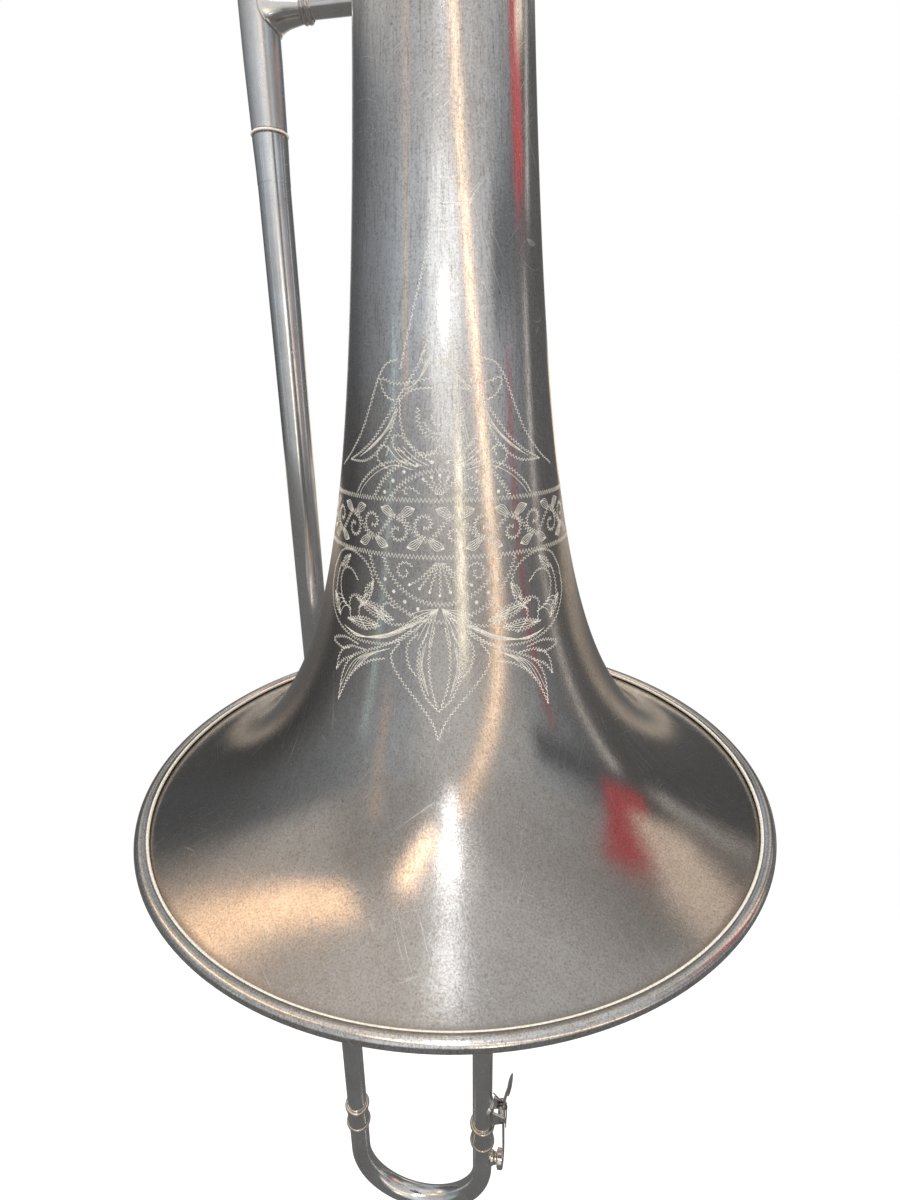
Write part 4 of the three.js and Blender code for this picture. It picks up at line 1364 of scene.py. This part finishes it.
def build_camera():
    pitch = Matrix.Rotation(math.radians(90 - CAMERA_PITCH), 3, "X")
    roll = Matrix.Rotation(math.radians(CAMERA_ROLL), 3, "Z")
    rotation = camera_turn @ pitch @ roll
    rim_centre = Vector((bell.x, bell.y, bell.low))
    data = bpy.data.cameras.new("camera")
    data.lens = LENS
    data.sensor_width = 36
    data.clip_start = 0.01
    camera = bpy.data.objects.new("camera", data)
    camera.matrix_world = Matrix.Translation((rim_centre - rotation @ RIM_IN_VIEW) * MM) @ rotation.to_4x4()
    bpy.context.scene.collection.objects.link(camera)
    bpy.context.scene.camera = camera
    return camera


def tone_strip(nodes, degrees, stops):
    """A colour by angle: stops holds (degrees, tone) from -180 to 180, and a tone is a grey or a colour."""
    strip = nodes.add("ShaderNodeValToRGB", nodes.math("ADD", nodes.math("DIVIDE", degrees, 360), 0.5))
    elements = strip.color_ramp.elements
    while len(elements) < len(stops):
        elements.new(0.5)
    for element, (angle, _) in zip(elements, stops):
        element.position = angle / 360 + 0.5
    for element, (_, tone) in zip(elements, stops):
        element.color = (*tone, 1) if isinstance(tone, tuple) else (tone, tone, tone, 1)
    return strip.outputs[0]


def card(nodes, room, azimuth, elevation, at, half, slant, soft, tone):
    """Lays a soft-edged card over the room. at and half are degrees of azimuth and elevation.

    slant is how far the card's upright edges lean per degree of rise, and its level edges rise per degree of turn.
    """
    turn = nodes.math("SUBTRACT", azimuth, at[0])
    rise = nodes.math("SUBTRACT", elevation, at[1])
    leaning = nodes.math("SUBTRACT", turn, nodes.times(rise, slant[0]))
    rising = nodes.math("SUBTRACT", rise, nodes.times(turn, slant[1]))
    cover = 1
    for distance, reach in ((leaning, half[0]), (rising, half[1])):
        inside = nodes.inverse(nodes.ramp(nodes.math("ABSOLUTE", distance), reach - soft, reach + soft))
        cover = nodes.times(inside, cover)
    return nodes.mix(cover, room, tone)


def cool(tone):
    return (tone * 0.94, tone, tone * 1.07)


def warm(tone):
    return (tone * 1.05, tone, tone * 0.95)


def room_walls(nodes, azimuth, elevation):
    """The broad tones of the room in four bands, from below the camera up to the ceiling."""
    low = tone_strip(nodes, azimuth, [
        (-180, cool(0.4)), (-166, cool(0.4)), (-158, 0.09), (-118, 0.08), (-100, 0.11), (-76, 0.24), (-50, 0.38),
        (-10, 0.52), (40, 0.46), (60, 0.3), (78, 0.2), (88, 0.3), (107, 0.16), (121, 0.14), (155, 0.12),
        (180, cool(0.4)),
    ])
    walls = tone_strip(nodes, azimuth, [
        (-180, cool(0.4)), (-166, cool(0.4)), (-158, 0.1), (-128, cool(0.12)), (-100, cool(0.22)), (-75, cool(0.3)),
        (-53, cool(0.46)), (-33, cool(0.54)), (-14, 0.76), (8, 0.8), (22, 0.68), (43, 0.57), (64, cool(0.42)),
        (88, cool(0.22)), (105, 0.14), (128, 0.12), (155, 0.1), (180, cool(0.4)),
    ])
    upper = tone_strip(nodes, azimuth, [
        (-180, 0.16), (-140, warm(0.62)), (-124, warm(0.44)), (-108, warm(0.62)), (-80, warm(0.58)),
        (-60, warm(0.44)), (-25, 0.52), (0, 0.7), (28, 0.58), (55, 0.5), (75, 0.44), (88, 0.4), (120, 0.2),
        (132, 0.2), (145, warm(0.62)), (180, 0.16),
    ])
    ceiling = tone_strip(nodes, azimuth, [
        (-180, warm(0.82)), (-60, warm(0.76)), (0, 0.84), (60, 0.68), (180, 0.62),
    ])
    room = nodes.mix(nodes.ramp(elevation, -2, 15), low, walls)
    room = nodes.mix(nodes.ramp(elevation, 25, 36), room, upper)
    return nodes.mix(nodes.ramp(elevation, 50, 72), room, ceiling)


def build_room(nodes):
    """What the metal reflects, by azimuth (0 behind the camera, + to its right) and elevation."""
    way = nodes.here("Generated")
    parts = nodes.split(nodes.add("ShaderNodeMapping", way, Rotation=(0, 0, math.radians(-CAMERA_TURN))))
    backwards = nodes.times(parts["Y"], -1)
    azimuth = nodes.math("DEGREES", nodes.math("ARCTAN2", parts["X"], backwards))
    elevation = nodes.math("DEGREES", nodes.math("ARCSINE", parts["Z"]))
    room = room_walls(nodes, azimuth, elevation)

    # Place, half size, slant, softness and tone of each card.
    cards = [
        ((78, 20), (24, 4), (0, 0), 3, cool(0.16)),
        ((24, 21.5), (6, 22), (-1.1, 0), 3.6, (1.12, 0.94, 0.8)),
        ((24, 21.5), (2.4, 21), (-1.1, 0), 1.4, (2.3, 1.72, 1.24)),
        ((-48, 26), (2, 14), (0, 0), 1.5, (0.74, 0.6, 0.5)),
        ((-62, 7), (1.3, 9), (0, 0), 0.8, (0.72, 0.92, 0.92)),
        ((66, 5), (2.2, 9), (0.4, 0), 1, (0.42, 0.16, 0.18)),
        ((94, 4), (2.4, 12), (0.6, 0), 0.9, warm(0.74)),
        ((9, 3), (2.8, 9), (0, 0), 1.6, (2.6, 2.4, 1.9)),
        ((119, 25), (3, 6), (1.1, 0), 1, warm(0.6)),
        ((-97, 51), (30, 4.6), (0, 0.34), 1.4, PEACH),
        ((-25, 56), (12, 3.2), (0, -0.62), 1, (4.4, 3.1, 2.1)),
        ((95, 33), (8.4, 12), (-0.3, 0), 0.8, (0.58, 0.12, 0.13)),
        ((110, 38), (8.5, 9.5), (0.5, 0), 1, (1, 0.84, 0.7)),
        ((122, 52), (14, 6), (0, -0.6), 3, warm(0.72)),
        ((164, -3), (9, 8), (0, 0), 2, (1.3, 1.02, 0.8)),
    ]
    for at, half, slant, soft, tone in cards:
        room = card(nodes, room, azimuth, elevation, at, half, slant, soft, tone)

    # A tube light that runs overhead from behind the camera.
    aside = nodes.math("ABSOLUTE", nodes.math("ADD", parts["X"], 0.035))
    beam = nodes.inverse(nodes.ramp(aside, 0.014, 0.026))
    beam = nodes.times(beam, nodes.ramp(elevation, 33, 40))
    beam = nodes.times(beam, nodes.ramp(backwards, 0, 0.03))
    beam = nodes.times(beam, nodes.inverse(nodes.times(nodes.ramp(elevation, 52, 72), 0.6)))
    return nodes.mix(beam, room, (7, 7.3, 7.7))


def build_world():
    """A white backdrop for the camera, soft white light for matt surfaces, and a dim room for shiny ones."""
    world = bpy.data.worlds.new("studio")
    bpy.context.scene.world = world
    world.use_nodes = True
    nodes = Nodes(world.node_tree)
    white = (1, 1, 1)
    mirrored = nodes.add("ShaderNodeBackground", build_room(nodes), 1)
    scattered = nodes.add("ShaderNodeBackground", white, 1.1)
    backdrop = nodes.add("ShaderNodeBackground", white, 1)
    lighting = nodes.add("ShaderNodeMixShader", nodes.rays("Glossy"), scattered, mirrored)
    nodes.add("ShaderNodeOutputWorld", nodes.add("ShaderNodeMixShader", nodes.rays("Camera"), lighting, backdrop))


def floor_material():
    """Pale, fading to white with distance. The metal sees a dim floor instead, as in the instrument's room."""
    material, nodes = new_material("floor")
    place = nodes.here()
    pale = nodes.mix(nodes.noise(place, 3, detail=2), (0.86, 0.86, 0.86), (0.9, 0.9, 0.9))
    near = nodes.add("ShaderNodeBsdfPrincipled", pale, Roughness=0.9)
    far = nodes.add("ShaderNodeEmission", (1, 1, 1))
    seen = nodes.add("ShaderNodeMixShader", nodes.ramp(nodes.length(place), 0.5, 1.6), near, far)
    # For reflections the floor is an emission, dim and warmer far behind: a painted reflection of a room's floor that
    # only the metal sees.
    behind = nodes.ramp(nodes.split(place)["Y"], 3.3, 6.6)
    dim = nodes.add("ShaderNodeEmission", nodes.mix(behind, (0.15, 0.147, 0.143), (0.5, 0.43, 0.36)))
    both = nodes.add("ShaderNodeMixShader", nodes.rays("Glossy"), seen, dim)
    nodes.add("ShaderNodeOutputMaterial", both)
    return material


def build_floor():
    """A wide floor just under the hand slide drawn out to its end."""
    half = 12
    gap = 0.03
    mesh = bpy.data.meshes.new("floor")
    mesh.from_pydata([(-half, -half, 0), (half, -half, 0), (half, half, 0), (-half, half, 0)], [], [(0, 1, 2, 3)])
    mesh.materials.append(floor_material())
    floor = bpy.data.objects.new("floor", mesh)
    travel = next(joint["range_m"][1] for joint in frame["joints"] if joint["name"] == "hand_slide")
    floor.location.z = -travel - gap
    bpy.context.scene.collection.objects.link(floor)


def area_light(name, place, target, size, power, colour):
    """A round lamp for one size, or an oblong softbox for two. Only a small lamp shows in the metal."""
    data = bpy.data.lights.new(name, "AREA")
    data.shape = "RECTANGLE" if len(size) > 1 else "DISK"
    data.size = size[0]
    data.size_y = size[-1]
    data.energy = power
    data.color = colour
    light = bpy.data.objects.new(name, data)
    light.location = place
    light.rotation_mode = "QUATERNION"
    light.rotation_quaternion = (Vector(target) - Vector(place)).to_track_quat("-Z", "Y")
    light.visible_glossy = max(size) < 0.5
    bpy.context.scene.collection.objects.link(light)


def build_lights(camera):
    target = Vector((bell.x, bell.y, bell.low + 90)) * MM
    lamp = camera.matrix_world.translation + camera_turn @ Vector((-0.01, 0, 0.067))
    area_light("lamp_by_camera", lamp, target, [0.013], 0.0048, (1, 0.98, 0.95))
    area_light("lamp_glow", lamp, target, [0.1], 0.007, (0.96, 0.98, 1))
    for name, place, size, power, colour in (
        ("softbox_left", (-1.4, -1.1, 1.5), (0.9, 1.2), 14, (0.93, 0.96, 1)),
        ("softbox_right", (1.5, -0.7, 1.3), (0.7, 1), 8, (1, 0.95, 0.9)),
        ("overhead", (0, 0.4, 2.6), (1.4, 1.4), 22, (1, 0.99, 0.97)),
    ):
        area_light(name, camera_turn @ Vector(place), target, size, power, colour)


# ---------------------------------------------------------------- the whole

build_bell()
build_bell_section_tubes()
build_braces()
build_tuning_slide()
build_inner_slide()
build_outer_slide()
build_water_key()
build_mouthpiece()
build_engraving()
bpy.context.scene.view_settings.view_transform = "Standard"
build_world()
build_floor()
build_lights(build_camera())
